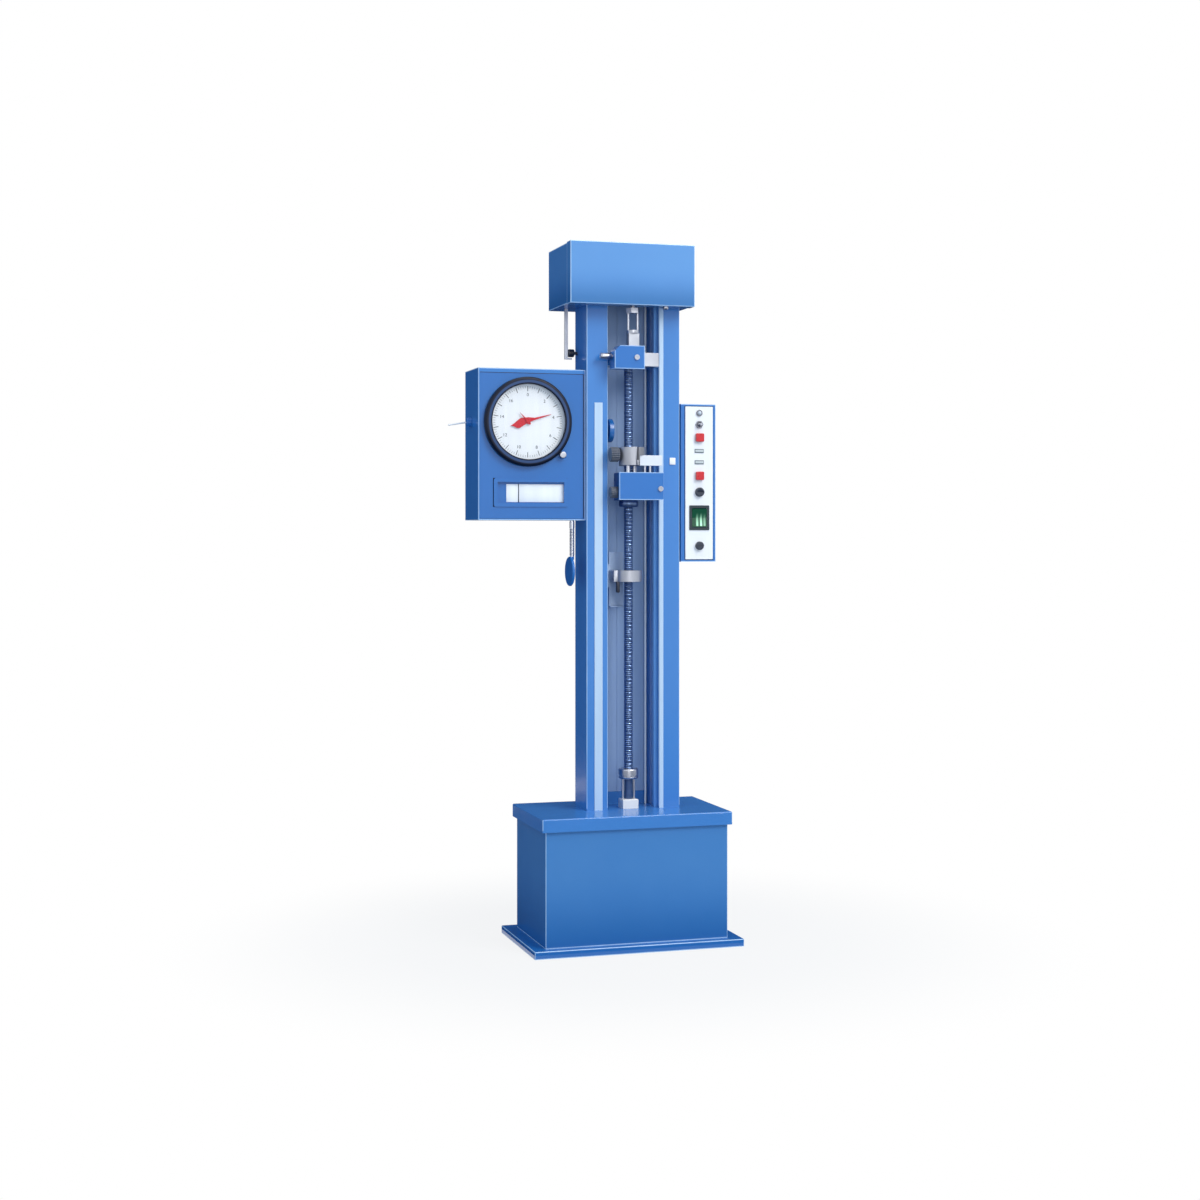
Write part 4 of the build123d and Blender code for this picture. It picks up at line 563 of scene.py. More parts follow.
class Recipe:
    """A geometry node tree under construction, with named inputs."""

    def __init__(self, name, inputs):
        self.tree = bpy.data.node_groups.new(name, "GeometryNodeTree")
        face = self.tree.interface
        face.new_socket("Geometry", in_out="INPUT", socket_type="NodeSocketGeometry")
        self.values = {}
        for label, (kind, value) in inputs.items():
            made = face.new_socket(label, in_out="INPUT", socket_type=kind)
            self.values[made.identifier] = value
        face.new_socket("Geometry", in_out="OUTPUT", socket_type="NodeSocketGeometry")
        self.start = self.tree.nodes.new("NodeGroupInput")
        self.end = self.tree.nodes.new("NodeGroupOutput")

    def given(self, label):
        return self.start.outputs[label]

    def node(self, kind, settings=None, sockets=None, output=0):
        made = self.tree.nodes.new(kind)
        for name, value in (settings or {}).items():
            setattr(made, name, value)
        for name, value in (sockets or {}).items():
            if isinstance(value, bpy.types.NodeSocket):
                self.tree.links.new(value, made.inputs[name])
            else:
                made.inputs[name].default_value = value
        return made.outputs[output]

    def maths(self, operation, first, second):
        return self.node("ShaderNodeMath", {"operation": operation}, {0: first, 1: second})

    def vector(self, **parts):
        return self.node("ShaderNodeCombineXYZ", sockets=parts)

    def circle(self, steps, radius):
        return self.node(
            "GeometryNodeCurvePrimitiveCircle", {"mode": "RADIUS"},
            {"Resolution": steps, "Radius": radius},
        )

    def cylinder(self, sides, radius, depth):
        return self.node(
            "GeometryNodeMeshCylinder", {"fill_type": "NGON"},
            {"Vertices": sides, "Radius": radius, "Depth": depth},
        )

    def raised(self, geometry, height):
        return self.node(
            "GeometryNodeTransform", sockets={0: geometry, "Translation": self.vector(Z=height)}
        )

    def spread(self, points, instance, **turned):
        return self.node(
            "GeometryNodeInstanceOnPoints", sockets={"Points": points, "Instance": instance, **turned}
        )

    def joined(self, *parts):
        join = self.tree.nodes.new("GeometryNodeJoinGeometry")
        for part in parts:
            self.tree.links.new(part, join.inputs[0])
        return join.outputs[0]

    def piece(self, name, geometry, finish, points=()):
        """Plain mesh object that the tree makes."""
        real = self.node("GeometryNodeRealizeInstances", sockets={0: geometry})
        smooth = self.node("GeometryNodeSetShadeSmooth", sockets={0: real})
        last = self.node("GeometryNodeSetMaterial", sockets={0: smooth, "Material": finish.material})
        self.tree.links.new(last, self.end.inputs[0])
        mesh = bpy.data.meshes.new(name + "_base")
        mesh.from_pydata([tuple(p) for p in points], [], [])
        piece = bpy.data.objects.new(name + "_base", mesh)
        bpy.context.scene.collection.objects.link(piece)
        modifier = piece.modifiers.new("recipe", "NODES")
        modifier.node_group = self.tree
        for identifier, value in self.values.items():
            modifier[identifier] = value
        result = plain_mesh(piece, name)
        result.data.set_sharp_from_angle(angle=math.radians(35))
        return result


LENGTH = "NodeSocketFloat"
COUNT = "NodeSocketInt"


def thread_recipe(radius, low, high, neck, foot, top):
    """Screw: core, helical thread and two plain journals, standing along Z."""
    depth, pitch = sizes().thread_depth, sizes().thread_pitch
    recipe = Recipe(
        "lead_screw_turns",
        {
            "Radius": (LENGTH, radius), "Depth": (LENGTH, depth), "Pitch": (LENGTH, pitch),
            "Low": (LENGTH, low), "High": (LENGTH, high), "Foot": (LENGTH, foot), "Top": (LENGTH, top),
            "Neck": (LENGTH, neck), "Tip": (LENGTH, neck * 0.8),
        },
    )
    give = recipe.given
    height = recipe.maths("SUBTRACT", give("High"), give("Low"))
    turns = recipe.maths("DIVIDE", height, give("Pitch"))
    ridge = recipe.maths("MULTIPLY", give("Depth"), 0.62)
    path = recipe.maths("SUBTRACT", give("Radius"), ridge)
    helix = recipe.node(
        "GeometryNodeCurveSpiral",
        sockets={
            "Resolution": 20, "Rotations": turns, "Height": height,
            "Start Radius": path, "End Radius": path,
        },
    )
    thread = recipe.node(
        "GeometryNodeCurveToMesh", sockets={0: helix, 1: recipe.circle(6, ridge), "Fill Caps": True}
    )
    parts = [recipe.raised(thread, give("Low"))]
    core = recipe.maths("SUBTRACT", give("Radius"), give("Depth"))
    for bottom, end, bore in (
        (give("Low"), give("High"), core), (give("Foot"), give("Low"), give("Neck")),
        (give("High"), give("Top"), give("Tip")),
    ):
        bar = recipe.cylinder(32, bore, recipe.maths("SUBTRACT", end, bottom))
        parts.append(recipe.raised(bar, recipe.maths("MULTIPLY", recipe.maths("ADD", end, bottom), 0.5)))
    return recipe, recipe.joined(*parts)


def tick_recipe(name, count, radius, length, width, depth):
    """Lines round a circle that faces front, their outer ends on one radius."""
    recipe = Recipe(
        name,
        {
            "Count": (COUNT, count), "Radius": (LENGTH, radius), "Length": (LENGTH, length),
            "Width": (LENGTH, width), "Depth": (LENGTH, depth),
        },
    )
    give = recipe.given
    size = recipe.vector(X=give("Width"), Y=give("Depth"), Z=give("Length"))
    reach = recipe.maths("SUBTRACT", give("Radius"), recipe.maths("MULTIPLY", give("Length"), 0.5))
    line = recipe.raised(recipe.node("GeometryNodeMeshCube", sockets={"Size": size}), reach)
    points = recipe.node("GeometryNodePoints", sockets={"Count": give("Count")})
    number = recipe.node("GeometryNodeInputIndex")
    turn = recipe.maths("MULTIPLY", number, recipe.maths("DIVIDE", 2 * math.pi, give("Count")))
    return recipe, recipe.spread(points, line, Rotation=recipe.vector(Y=turn))


def screw_recipe(name, radius, height):
    """Socket head screws on points, their heads towards the front."""
    recipe = Recipe(name, {"Radius": (LENGTH, radius), "Height": (LENGTH, height)})
    give = recipe.given
    lift = recipe.maths("MULTIPLY", give("Height"), 0.5)
    head = recipe.cylinder(32, give("Radius"), give("Height"))
    socket = recipe.cylinder(6, recipe.maths("MULTIPLY", give("Radius"), 0.5), give("Height"))
    cut = recipe.node(
        "GeometryNodeMeshBoolean", {"operation": "DIFFERENCE"}, {0: head, 1: recipe.raised(socket, lift)}
    )
    forward = (math.radians(90), 0.0, 0.0)
    return recipe, recipe.spread(give("Geometry"), recipe.raised(cut, lift), Rotation=forward)


def ring_recipe(name, count, radius, bead, low, high):
    """Beads round an upright rod at even heights."""
    recipe = Recipe(
        name,
        {
            "Count": (COUNT, count), "Radius": (LENGTH, radius), "Bead": (LENGTH, bead),
            "Low": (LENGTH, low), "High": (LENGTH, high),
        },
    )
    give = recipe.given
    path, bead_line = recipe.circle(24, give("Radius")), recipe.circle(6, give("Bead"))
    ring = recipe.node("GeometryNodeCurveToMesh", sockets={0: path, 1: bead_line})
    first, last = recipe.vector(Z=give("Low")), recipe.vector(Z=give("High"))
    line = recipe.node(
        "GeometryNodeMeshLine", {"mode": "END_POINTS"},
        {"Count": give("Count"), "Start Location": first, "Offset": last},
    )
    return recipe, recipe.spread(line, ring)


def shifted(piece, x, y, z=0.0):
    """Moves the place that is in the piece's mesh."""
    piece.data.transform(Matrix.Translation((x, y, z)))
    return piece


# Pieces


class TESTER_OT_housings(bpy.types.Operator):
    """Blue enamel on the sheet housings, plates and posts"""

    bl_idname = "tester.housings"
    bl_label = "Housings"

    def execute(self, context):
        # pale is partly a painted reflection; deep and middle are darker copies of the housing blue.
        blue, pale = colours().enamel, colours().pale_enamel
        deep = [c * share for c, share in zip(blue, (0.6, 0.88, 0.92))]
        middle = [(a + b) / 2 for a, b in zip(deep, pale)]
        # The cabinet shell and the head get painted shade towards the foot and a painted sheen above.
        dress(enamel("enamel_cabinet_shell", middle, "cabinet_shell", falloff=0.14), "cabinet_shell")
        dress(enamel("enamel_foot_plate", deep, "foot_plate"), "foot_plate")
        for node in ("head_front_cover", "head_shell"):
            dress(enamel("enamel_" + node, pale, node, falloff=0.25), node)
        for node in ("cabinet_lid", "left_upright", "right_upright"):
            dress(enamel("enamel_" + node, pale, node, foot=False), node)
        # Painted light: a lighter copy of the housing blue on the gauge housing, standing in for how
        # light falls on its sides.
        side = [c * share for c, share in zip(blue, (1.7, 1.25, 1.12))]
        dress(enamel("enamel_gauge_housing", side, "gauge_housing"), "gauge_housing")
        for node in ("panel_housing", "top_bridge"):
            dress(enamel("enamel_" + node, blue, node), node)
        for node in ("crosshead_block", "upper_grip_body"):
            refined(node, enamel("enamel_" + node, blue, node, 0.8), 0.0008)
        dress(enamel("enamel_gauge_front_panel", shaded(blue, 0.94)), "gauge_front_panel")
        dress(satin("liner_paint", colours().liner), "back_panel")
        dress(satin("frame_primer", (0.10, 0.11, 0.13), 0.6), "support_frame", "top_beam")
        refined("stop_carrier", satin("stop_paint", (0.33, 0.44, 0.63), 0.4), 0.0006)
        return {"FINISHED"}


class TESTER_OT_metals(bpy.types.Operator):
    """Plated, ground and turned steel"""

    bl_idname = "tester.metals"
    bl_label = "Metals"

    def execute(self, context):
        nickel = metal("nickel_plate", colours().nickel)
        bright = shaded(colours().nickel, 1.15)
        for node in (
            "bearing_ring", "upper_fixed_jaw", "upper_clamp_screw", "upper_jaw", "lower_jaw",
            "reset_knob", "toggle_lever", "lock_bar", "weighing_beam", "load_tape", "load_hanger",
        ):
            refined(node, nickel, 0.0004)
        # Painted light and shade: the grip drum is a lighter copy of the bright steel left of the split
        # and a darker copy right of it.
        left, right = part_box("lower_jaw")[1].x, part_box("lower_grip_body")[1].x
        split = left + (right - left) * 0.13
        near, far = shaded(bright, 0.7), shaded(bright, 0.48)
        lit_and_shaded_drum = two_tone("grip_drum", 0, split, near, far, (1.0, 1.0), (0.46, 0.42))
        refined("lower_grip_body", lit_and_shaded_drum, 0.0004)
        refined("grip_posts", nickel)
        oiled = metal("oiled_steel", colours().steel, 0.30, grain=500.0)
        for node in ("crosshead_nut", "screw_pulley", "motor_pulley"):
            refined(node, oiled)
        refined("stop_collar", metal("ground_collar", shaded(bright, 0.85), 0.38), 0.0006)
        dress(oiled, "dial_movement")
        dress(satin("strip_lacquer", colours().strip, 0.3), "front_strips")
        # Painted highlight: the guide rod at the back of the rails is painted white, standing in for
        # polished steel that catches the light.
        rail = two_tone(
            "rails_and_rod", 1, 0.045, (0.13, 0.36, 0.76), (0.84, 0.93, 1.0), (0.0, 0.0), (0.30, 0.40)
        )
        dress(rail, "column_rails")
        dress(moulding("motor_coat", (0.05, 0.055, 0.06), 0.5), "drive_motor")
        return {"FINISHED"}


class TESTER_OT_lead_screw(bpy.types.Operator):
    """Lead screw with its thread, core and journals"""

    bl_idname = "tester.lead_screw"
    bl_label = "Lead screw"

    def execute(self, context):
        low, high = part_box("lead_screw")
        ring_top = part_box("bearing_ring")[1].z + 0.3 * MM
        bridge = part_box("top_bridge")[0].z - 0.3 * MM
        radius = (high.x - low.x) / 2
        recipe, geometry = thread_recipe(radius, ring_top, bridge, radius * 0.8, low.z, high.z)
        finish = self.oiled_thread(Vector(((low.x + high.x) / 2, (low.y + high.y) / 2)), radius)
        piece = recipe.piece("lead_screw_threaded", geometry, finish)
        shifted(piece, (low.x + high.x) / 2, (low.y + high.y) / 2)
        keep(piece, "lead_screw", "screw_steel", "lead_screw")
        return {"FINISHED"}

    def oiled_thread(self, axis, radius):
        """Steel with painted shade in the grooves and a painted highlight on the crests."""
        finish = Finish("screw_thread")
        px, py, _ = finish.place()
        dx, dy = px - axis.x, py - axis.y
        reach = (dx * dx + dy * dy).root()
        crest = finish.step(reach, radius - 0.0017, radius - 0.0004)
        smear = finish.noise(70.0, 4.0)
        dark = finish.blend(smear, (0.02, 0.05, 0.13), (0.07, 0.13, 0.28))
        bright = finish.blend(smear, colours().steel, shaded(colours().steel, 2.0))
        finish.surface(
            Base_Color=finish.blend(crest, dark, bright), Metallic=0.35 + 0.6 * crest,
            Roughness=0.42 - 0.15 * crest,
        )
        return finish


class TESTER_OT_grips(bpy.types.Operator):
    """Knobs, index bar and the screws of the grips"""

    bl_idname = "tester.grips"
    bl_label = "Grips and knobs"

    def execute(self, context):
        refined("beam_lock_knob", moulding("black_moulding", colours().black), 0.0003)
        grey = moulding("grip_knob_moulding", (0.055, 0.075, 0.115), 0.35)
        for node in ("lower_clamp_knob", "nut_lock_knob"):
            refined(node, grey, 0.0003)
        refined("index_bar", enamel("index_enamel", (0.70, 0.74, 0.82)), 0.0006)
        refined("bearing_block", enamel("block_enamel", (0.80, 0.79, 0.78)), 0.0006)
        nickel = metal("screw_plate", colours().nickel, 0.16)
        for name, body, node, (across, up) in FRONT_SCREWS:
            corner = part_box(node)[0]
            recipe, geometry = screw_recipe(name + "_heads", sizes().screw_head, SCREW_HEAD_HEIGHT * MM)
            point = (corner.x + across * MM, corner.y, corner.z + up * MM)
            keep(recipe.piece(name, geometry, nickel, [point]), body, "bright_steel")
        down = (0, 0, -1)
        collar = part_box("stop_collar")[0]
        across, back = STOP_SCREW_PLACE
        turned(
            "stop_clamp_screw", (collar.x + across * MM, collar.y + back * MM, collar.z), down,
            [(0, 0.005), (0.026, 0.005), (0.028, 0.004), (0.0285, 0.0005)],
            metal("blued_steel", (0.10, 0.11, 0.14), 0.4), "travel_stop", "screw_steel",
        )
        cover_low, cover_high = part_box("head_front_cover")
        across, back = COVER_SCREW_PLACE
        turned(
            "cover_screw", (cover_low.x + across * MM, cover_high.y - back * MM, cover_low.z), down,
            [(0, 0.0065), (0.005, 0.0065), (0.0075, 0.005), (0.009, 0.001)],
            nickel, "base", "bright_steel",
        )
        return {"FINISHED"}


class TESTER_OT_pendulum(bpy.types.Operator):
    """Ribbed pendulum rod, blue bob and load pulley"""

    bl_idname = "tester.pendulum"
    bl_label = "Pendulum"

    def execute(self, context):
        low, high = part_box("pendulum")
        bob_top = low.z + BOB_HEIGHT * MM
        arm = two_tone(
            "pendulum_arm", 2, bob_top, colours().enamel, colours().nickel, (0.0, 1.0), (0.25, 0.2)
        )
        refined("pendulum", arm, 0.0005)
        rod_x = high.x - ROD_INSET * MM
        first, last = (bob_top + along * MM for along in ROD_RINGS_SPAN)
        recipe, geometry = ring_recipe(
            "rod_rings", sizes().rod_rings, ROD_RING_RADIUS * MM, ROD_BEAD_RADIUS * MM, first, last
        )
        rings = recipe.piece("pendulum_rod_rings", geometry, metal("rod_plate", colours().nickel, 0.2))
        shifted(rings, rod_x, (low.y + high.y) / 2)
        keep(rings, "pendulum", "bright_steel")
        refined("pendulum_shaft", enamel("pulley_enamel", shaded(colours().enamel, 0.8)), 0.0004)
        lever_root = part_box("zero_knob")[0].x + WIRE_LEVER_LENGTH * MM
        knob = two_tone("zero_knob_finish", 0, lever_root, colours().white, colours().enamel)
        refined("zero_knob", knob)
        return {"FINISHED"}


class TESTER_OT_dial(bpy.types.Operator):
    """Bezel, dial lines and numbers, hands and glass"""

    bl_idname = "tester.dial"
    bl_label = "Dial"

    def execute(self, context):
        low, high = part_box("dial_face")
        centre_x, centre_z = (low.x + high.x) / 2, (low.z + high.z) / 2
        radius = DIAL_RADIUS * MM
        lacquer = moulding("bezel_lacquer", (0.003, 0.007, 0.022), 0.30)
        px, _, pz = lacquer.place()
        dx, dz = px - centre_x, pz - centre_z
        reach = (dx * dx + dz * dz).root()
        # Painted highlight: a lighter navy ring on the bezel.
        highlight_ring = lacquer.step(reach, radius + 3 * MM, radius + 4.5 * MM)
        highlight_ring = highlight_ring * (1.0 - lacquer.step(reach, radius + 9 * MM, radius + 11 * MM))
        lacquer.surface(
            Base_Color=lacquer.blend(highlight_ring, (0.003, 0.007, 0.022), (0.030, 0.066, 0.170)),
            Specular_IOR_Level=0.22, Coat_Weight=0.0,
        )
        refined("dial_bezel", lacquer)
        dress(satin("dial_paper", (0.88, 0.90, 0.93), 0.5), "dial_face")
        ink = satin("dial_ink", (0.02, 0.022, 0.03), 0.6)
        pale_ink = satin("dial_fine_ink", (0.10, 0.11, 0.13), 0.6)
        front = low.y - 0.15 * MM
        long_line = sizes().tick_length
        for name, count, length, width, finish in (
            ("dial_major_lines", sizes().major_ticks, long_line, 0.0015, ink),
            ("dial_minor_lines", sizes().minor_ticks, long_line * 0.45, 0.0006, pale_ink),
        ):
            recipe, geometry = tick_recipe(name, count, radius - 5 * MM, length, width, 0.0003)
            lines = shifted(recipe.piece(name, geometry, finish), centre_x, front, centre_z)
            keep(lines, "base", "black_plastic")
        for number in range(0, SCALE_NUMBERS, 2):
            angle = 2 * math.pi * number / SCALE_NUMBERS
            reach = radius - NUMERAL_INSET * MM
            self.numeral(str(number), centre_x, centre_z, angle, reach, front, ink)
        self.hand(centre_x, centre_z)
        glass = Finish("dial_glass_clear")
        smear = glass.noise(12.0, 3.0)
        glass.surface(
            Base_Color=(0.30, 0.36, 0.42), Roughness=0.04 + 0.03 * smear, Alpha=0.02 + 0.02 * smear,
            IOR=1.5,
        )
        refined("dial_glass", glass)
        return {"FINISHED"}

    def numeral(self, text, x, z, angle, reach, front, finish):
        """One plain number on the dial."""
        letters = bpy.data.curves.new("dial_number_" + text, "FONT")
        letters.body = text
        letters.size = sizes().numeral_height
        letters.extrude = 0.0001
        letters.align_x = "CENTER"
        letters.align_y = "CENTER"
        source = bpy.data.objects.new("dial_number_source_" + text, letters)
        bpy.context.scene.collection.objects.link(source)
        piece = plain_mesh(source, "dial_number_" + text)
        turn = Matrix.Rotation(math.radians(90), 4, "X")
        place = (x + reach * math.sin(angle), front, z + reach * math.cos(angle))
        piece.data.transform(Matrix.Translation(place) @ turn)
        piece.data.materials.clear()
        piece.data.materials.append(finish.material)
        keep(piece, "base", "black_plastic")

    def hand(self, x, z):
        """Red load hand with its broad tail, hub cap and arbor, and the slim peak hand."""
        red = moulding("hand_lacquer", (0.60, 0.012, 0.024), 0.4)
        red.surface(Specular_IOR_Level=0.25, Coat_Weight=0.0)
        low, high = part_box("load_pointer")
        back = low.y + 4.5 * MM
        outline = [(x + a * MM, z + b * MM) for a, b in HAND_OUTLINE]
        hand = cut_plate("load_hand_blade", outline, back, HAND_THICKNESS * MM, red)
        keep(hand, "load_hand", "red_paint", "load_pointer")
        cap = [(0, 0.0045), (0.003, 0.0045), (0.004, 0.0035), (0.0043, 0.0005)]
        turned("load_hand_hub", (x, back, z), (0, -1, 0), cap, red, "load_hand", "red_paint")
        turned(
            "load_hand_arbor", (x, high.y, z), (0, -1, 0), [(0, 0.0024), (high.y - back, 0.0024)],
            metal("arbor_steel", colours().nickel), "load_hand", "bright_steel",
        )
        refined("peak_pointer", red)


class TESTER_OT_window(bpy.types.Operator):
    """Record card in the window, panel joints and the index tile"""

    bl_idname = "tester.window"
    bl_label = "Window and tiles"

    def execute(self, context):
        low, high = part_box("gauge_front_panel")
        dark = satin("joint_shadow", (0.006, 0.02, 0.07), 0.6)
        self.card(low.y + TRAY_DEPTH * MM, dark)
        panel_front = low.y + 2.5 * MM
        seam = 1.6 * MM
        rows = (
            ("panel_seam_top", (low.x, high.z - seam / 2), (high.x, high.z + seam / 2)),
            ("panel_seam_right", (high.x - seam / 2, low.z), (high.x + seam, high.z)),
            ("panel_seam_bottom", (low.x, low.z - seam / 2), (high.x, low.z)),
        )
        for name, first, last in rows:
            near, far = panel_front - 0.15 * MM, panel_front + 0.4 * MM
            block(
                name, (first[0], near, first[1]), (last[0], far, last[1]),
                dark, "base", "black_plastic", 0.0001,
            )
        light = satin("rim_glint", colours().enamel_glint, 0.4)
        window = (
            (low.x + WINDOW_LEFT * MM, WINDOW_BASE * MM), (low.x + WINDOW_RIGHT * MM, WINDOW_TOP * MM),
        )
        rim_ring("window_rim_shadow", *window, panel_front, 2.3 * MM, dark)
        inner = [(x + side * 3.2 * MM, z + side * 3.2 * MM) for (x, z), side in zip(window, (1, -1))]
        rim_ring("window_rim_glint", *inner, panel_front, 1.6 * MM, light)
        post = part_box("right_upright")[0]
        tile = enamel("tile_enamel", colours().white)
        x, z = post.x + INDEX_TILE_PLACE[0] * MM, INDEX_TILE_PLACE[1] * MM
        half, tall = (side * MM for side in INDEX_TILE_HALF)
        block(
            "index_tile", (x - half, post.y - 2.5 * MM, z - tall), (x + half, post.y, z + tall),
            tile, "base", "white_enamel", 0.0009,
        )
        return {"FINISHED"}

    def card(self, tray, dark):
        """Record card in its tray: a stub, a dark divider and the main field."""
        paper = satin("card_stock", (0.86, 0.90, 0.95), 0.7)
        left, right, base, top = (v * MM for v in (CARD_LEFT, CARD_RIGHT, CARD_BASE, CARD_TOP))
        split, start = (left + along * MM for along in CARD_SPLIT)
        for name, first, last, lift, finish, slot_name, bevel in (
            ("record_card_main", start, right, 1.2, paper, "white_enamel", 0.0005),
            ("record_card_stub", left, split, 1.0, paper, "white_enamel", 0.0005),
            ("record_card_divider", split, start, 1.6, dark, "black_plastic", 0.0002),
        ):
            corner = (first, tray - lift * MM, base)
            block(name, corner, (last, tray, top), finish, "base", slot_name, bevel)


class TESTER_OT_panel(bpy.types.Operator):
    """Control plate, lamp, switches, buttons, legend plates and rocker"""

    bl_idname = "tester.panel"
    bl_label = "Control panel"

    def execute(self, context):
        low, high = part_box("panel_face")
        x, front = (low.x + high.x) / 2, low.y
        refined("panel_face", enamel("plate_enamel", colours().white), 0.0004)
        red = moulding("red_moulding", colours().red, 0.22)
        refined("start_button", red, 0.0004)
        refined("stop_button", red, 0.0004)
        cap = moulding("cap_moulding", (0.022, 0.032, 0.055), 0.3)
        refined("speed_knob", cap)
        refined("fuse_cap", cap)
        frame_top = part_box("power_rocker")[1].z + 12 * MM
        frame_black, dull_nickel = (0.02, 0.035, 0.045), shaded(colours().nickel, 0.5)
        bezel = two_tone(
            "bezel_parts", 2, frame_top, frame_black, dull_nickel, (0.0, 1.0), (0.28, 0.20)
        )
        refined("panel_bezels", bezel, 0.0003)
        self.rocker(x)
        rim = satin("legend_rim", (0.10, 0.14, 0.16), 0.4)
        bare = satin("legend_plate", (0.52, 0.58, 0.60), 0.5)
        for number, height in enumerate(LEGEND_HEIGHTS):
            z = height * MM
            block(
                "legend_rim_%d" % number, (x - 12.5 * MM, front - 1.0 * MM, z - 5.2 * MM),
                (x + 12.5 * MM, front, z + 5.2 * MM), rim, "base", "black_plastic", 0.0003,
            )
            block(
                "legend_plate_%d" % number, (x - 10.8 * MM, front - 1.3 * MM, z - 2.9 * MM),
                (x + 11.2 * MM, front - 0.9 * MM, z + 2.9 * MM), bare, "base", "white_enamel", 0.0001,
            )
        turned(
            "lamp_lens", (x, front - 3 * MM, LAMP_HEIGHT * MM), (0, -1, 0),
            [(0, 0.0052), (0.002, 0.0050), (0.004, 0.0036), (0.0048, 0.0010)],
            moulding("lamp_glass", (0.45, 0.52, 0.60), 0.1), "base", "clear_glass",
        )
        # Painted shade: dark strips in the gap round the white plate.
        dark = satin("plate_gap", (0.012, 0.03, 0.08), 0.6)
        edge = 1.6 * MM
        back = high.y
        for name, a, b in (
            ("plate_gap_left", (low.x - edge, low.z - edge), (low.x, high.z + edge)),
            ("plate_gap_right", (high.x, low.z - edge), (high.x + edge, high.z + edge)),
            ("plate_gap_top", (low.x, high.z), (high.x, high.z + edge)),
            ("plate_gap_bottom", (low.x, low.z - edge), (high.x, low.z)),
        ):
            corner = (a[0], back - 0.6 * MM, a[1])
            block(name, corner, (b[0], back, b[1]), dark, "base", "black_plastic", 0.0001)
        return {"FINISHED"}

    def rocker(self, x):
        """Green lens lit from below by three lamps behind it."""
        finish = Finish("rocker_lens")
        px, _, pz = finish.place()
        low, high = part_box("power_rocker")
        middle = (low.z + high.z) / 2
        falloff = finish.step(pz, middle + 15 * MM, middle - 20 * MM)
        falloff = falloff * (1.0 - finish.step(pz, middle - 20 * MM, middle - 23 * MM))
        lit = None
        for offset, power in LAMP_BARS:
            bar = (1.0 - finish.step(abs(px - (x + offset * MM)), 1.2 * MM, 4.6 * MM)) * power
            lit = bar if lit is None else lit.most(bar)
        lit = lit * falloff
        finish.surface(
            Base_Color=finish.blend(lit, colours().green, (0.50, 0.86, 0.62)),
            Roughness=0.12 + 0.1 * finish.noise(120.0),
            Coat_Weight=0.4,
        )
        glow = finish.blend(lit, (0.0, 0.01, 0.003), (0.18, 0.5, 0.28))
        finish.surface(Emission_Color=glow, Emission_Strength=0.8)
        refined("power_rocker", finish)


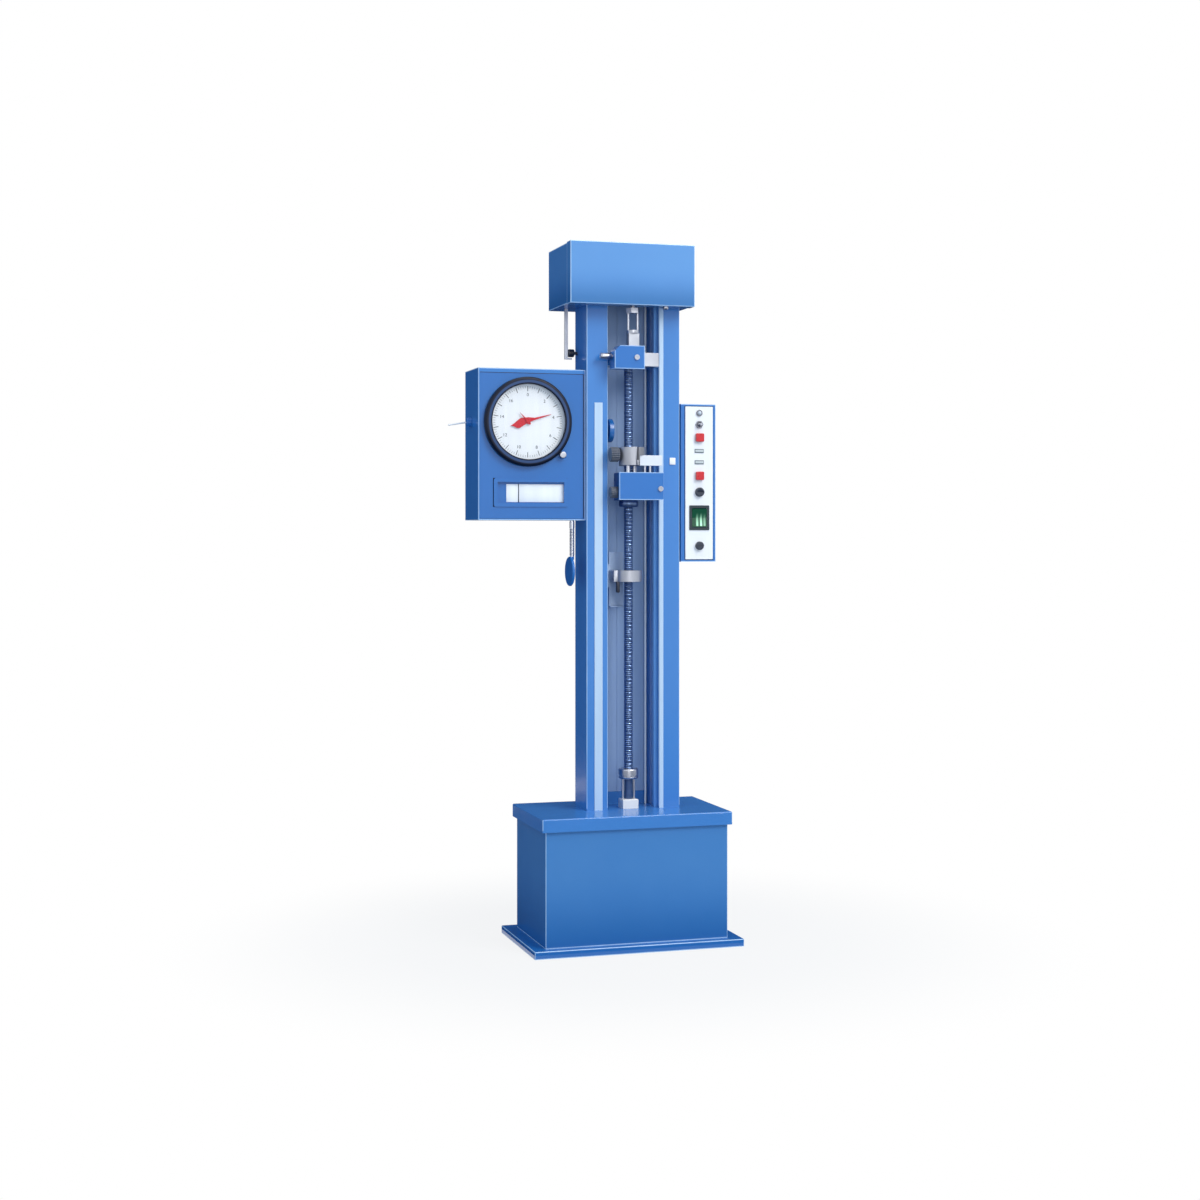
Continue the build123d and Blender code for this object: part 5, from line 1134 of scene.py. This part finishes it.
class TESTER_OT_stage(bpy.types.Operator):
    """Pale floor, soft studio light and the camera"""

    bl_idname = "tester.stage"
    bl_label = "Stage"

    def execute(self, context):
        self.floor()
        self.sky()
        for name, place, aim, size, power in (
            ("key_light", (1.9, -3.5, 4.0), (0.0, 0.0, 1.0), 2.2, 148.0),
            ("front_light", (-0.9, -6.5, 1.6), (0.0, 0.0, 1.0), 2.4, 62.0),
            ("top_light", (0.3, -0.8, 4.8), (0.0, 0.0, 1.0), 2.6, 55.0),
        ):
            lamp = bpy.data.lights.new(name, "AREA")
            lamp.size = size
            lamp.energy = power
            lamp.color = (1.0, 0.94, 0.86)
            holder = bpy.data.objects.new(name, lamp)
            holder.location = place
            holder.rotation_euler = (Vector(aim) - Vector(place)).to_track_quat("-Z", "Y").to_euler()
            context.scene.collection.objects.link(holder)
        self.flags()
        view = bpy.data.cameras.new("photo_camera")
        view.sensor_width = SENSOR_WIDTH
        view.lens = FOCAL_LENGTH / PICTURE_SIDE * SENSOR_WIDTH
        view.shift_y = HORIZON_SHIFT / PICTURE_SIDE
        view.clip_end = 60.0
        camera = bpy.data.objects.new("photo_camera", view)
        camera.location = CAMERA_PLACE
        camera.rotation_euler = (math.radians(90), 0.0, -math.atan2(*VIEW_DIRECTION))
        context.scene.collection.objects.link(camera)
        context.scene.camera = camera
        context.scene.view_settings.view_transform = "Standard"
        return {"FINISHED"}

    def floor(self):
        """Pale floor that fades to white away from the machine."""
        shape = bmesh.new()
        bmesh.ops.create_grid(shape, x_segments=2, y_segments=2, size=15.0)
        finish = Finish("pale_floor")
        finish.surface(Base_Color=(0.46, 0.50, 0.55), Roughness=0.8 + 0.1 * finish.noise(2.0))
        glow = finish.tree.nodes.new("ShaderNodeEmission")
        glow.inputs["Color"].default_value = (1.0, 1.0, 1.0, 1.0)
        glow.inputs["Strength"].default_value = 1.0
        mixed = finish.tree.nodes.new("ShaderNodeMixShader")
        path = finish.tree.nodes.new("ShaderNodeLightPath")
        kinds = ("Camera", "Glossy", "Transmission")
        straight, glossy, through = (Value(finish, path.outputs["Is %s Ray" % kind]) for kind in kinds)
        seen = straight.most(glossy).most(through)
        finish.place()
        distance = finish.node(
            "ShaderNodeVectorMath", {"operation": "LENGTH"}, {0: finish.point}, output=1
        )
        falloff = 0.86 + 0.14 * finish.step(distance, 0.45, 1.25)
        finish.put(mixed.inputs[0], seen * falloff)
        finish.tree.links.new(finish.shader.outputs[0], mixed.inputs[1])
        finish.tree.links.new(glow.outputs[0], mixed.inputs[2])
        finish.tree.links.new(mixed.outputs[0], finish.output.inputs[0])
        piece_from(shape, "floor", finish)

    def sky(self):
        """Soft pale blue light, and white where the camera or a mirror looks."""
        world = bpy.data.worlds.new("studio")
        bpy.context.scene.world = world
        world.use_nodes = True
        tree = world.node_tree
        tree.nodes.clear()
        out = tree.nodes.new("ShaderNodeOutputWorld")
        soft = tree.nodes.new("ShaderNodeBackground")
        soft.inputs["Color"].default_value = (0.60, 0.79, 1.0, 1.0)
        soft.inputs["Strength"].default_value = 0.74
        white = tree.nodes.new("ShaderNodeBackground")
        white.inputs["Color"].default_value = (1.0, 1.0, 1.0, 1.0)
        path = tree.nodes.new("ShaderNodeLightPath")
        seen = path.outputs["Is Camera Ray"]
        for kind in ("Is Glossy Ray", "Is Transmission Ray"):
            either = tree.nodes.new("ShaderNodeMath")
            either.operation = "MAXIMUM"
            tree.links.new(seen, either.inputs[0])
            tree.links.new(path.outputs[kind], either.inputs[1])
            seen = either.outputs[0]
        mixed = tree.nodes.new("ShaderNodeMixShader")
        tree.links.new(seen, mixed.inputs[0])
        tree.links.new(soft.outputs[0], mixed.inputs[1])
        tree.links.new(white.outputs[0], mixed.inputs[2])
        tree.links.new(mixed.outputs[0], out.inputs[0])

    def flags(self):
        """Dark screens behind and low in front, which only reflections see."""
        finish = Finish("flag_cloth")
        cloth = finish.blend(finish.noise(3.0), (0.012, 0.03, 0.08), (0.016, 0.04, 0.10))
        finish.surface(Base_Color=cloth, Roughness=0.9)
        screens = (
            ("rear_flag", (-0.5, 2.8, 1.9), (4.2, 1.85), math.radians(90)),
            ("low_flag", (-0.4, -1.6, 0.01), (4.2, 4.3), 0.0),
        )
        for name, place, reach, tilt in screens:
            shape = bmesh.new()
            bmesh.ops.create_grid(shape, x_segments=1, y_segments=1, size=1.0)
            spread = Matrix.Diagonal((*reach, 1.0, 1.0))
            shape.transform(Matrix.Translation(place) @ Matrix.Rotation(tilt, 4, "X") @ spread)
            screen = piece_from(shape, name, finish)
            screen.visible_camera = False
            screen.visible_diffuse = False
            screen.visible_transmission = False
            screen.visible_shadow = False


class TESTER_PT_sidebar(bpy.types.Panel):
    """Sizes, colours and steps of the tester"""

    bl_label = "Tensile tester"
    bl_idname = "TESTER_PT_sidebar"
    bl_space_type = "VIEW_3D"
    bl_region_type = "UI"
    bl_category = "Tester"

    def draw(self, context):
        for group in (context.scene.tester_sizes, context.scene.tester_colours):
            box = self.layout.box()
            for name in group.__annotations__:
                box.prop(group, name)
        for step in STEPS:
            self.layout.operator(step.bl_idname)


STEPS = (
    TESTER_OT_housings, TESTER_OT_metals, TESTER_OT_lead_screw, TESTER_OT_grips, TESTER_OT_pendulum,
    TESTER_OT_dial, TESTER_OT_window, TESTER_OT_panel, TESTER_OT_stage,
)
CLASSES = (TesterSizes, TesterColours, *STEPS, TESTER_PT_sidebar)


def register():
    for item in CLASSES:
        bpy.utils.register_class(item)
    bpy.types.Scene.tester_sizes = PointerProperty(type=TesterSizes)
    bpy.types.Scene.tester_colours = PointerProperty(type=TesterColours)


def unregister():
    del bpy.types.Scene.tester_colours
    del bpy.types.Scene.tester_sizes
    for item in reversed(CLASSES):
        bpy.utils.unregister_class(item)


def main():
    register()
    for step in STEPS:
        group, name = step.bl_idname.split(".")
        getattr(getattr(bpy.ops, group), name)()


if __name__ == "__main__":
    main()
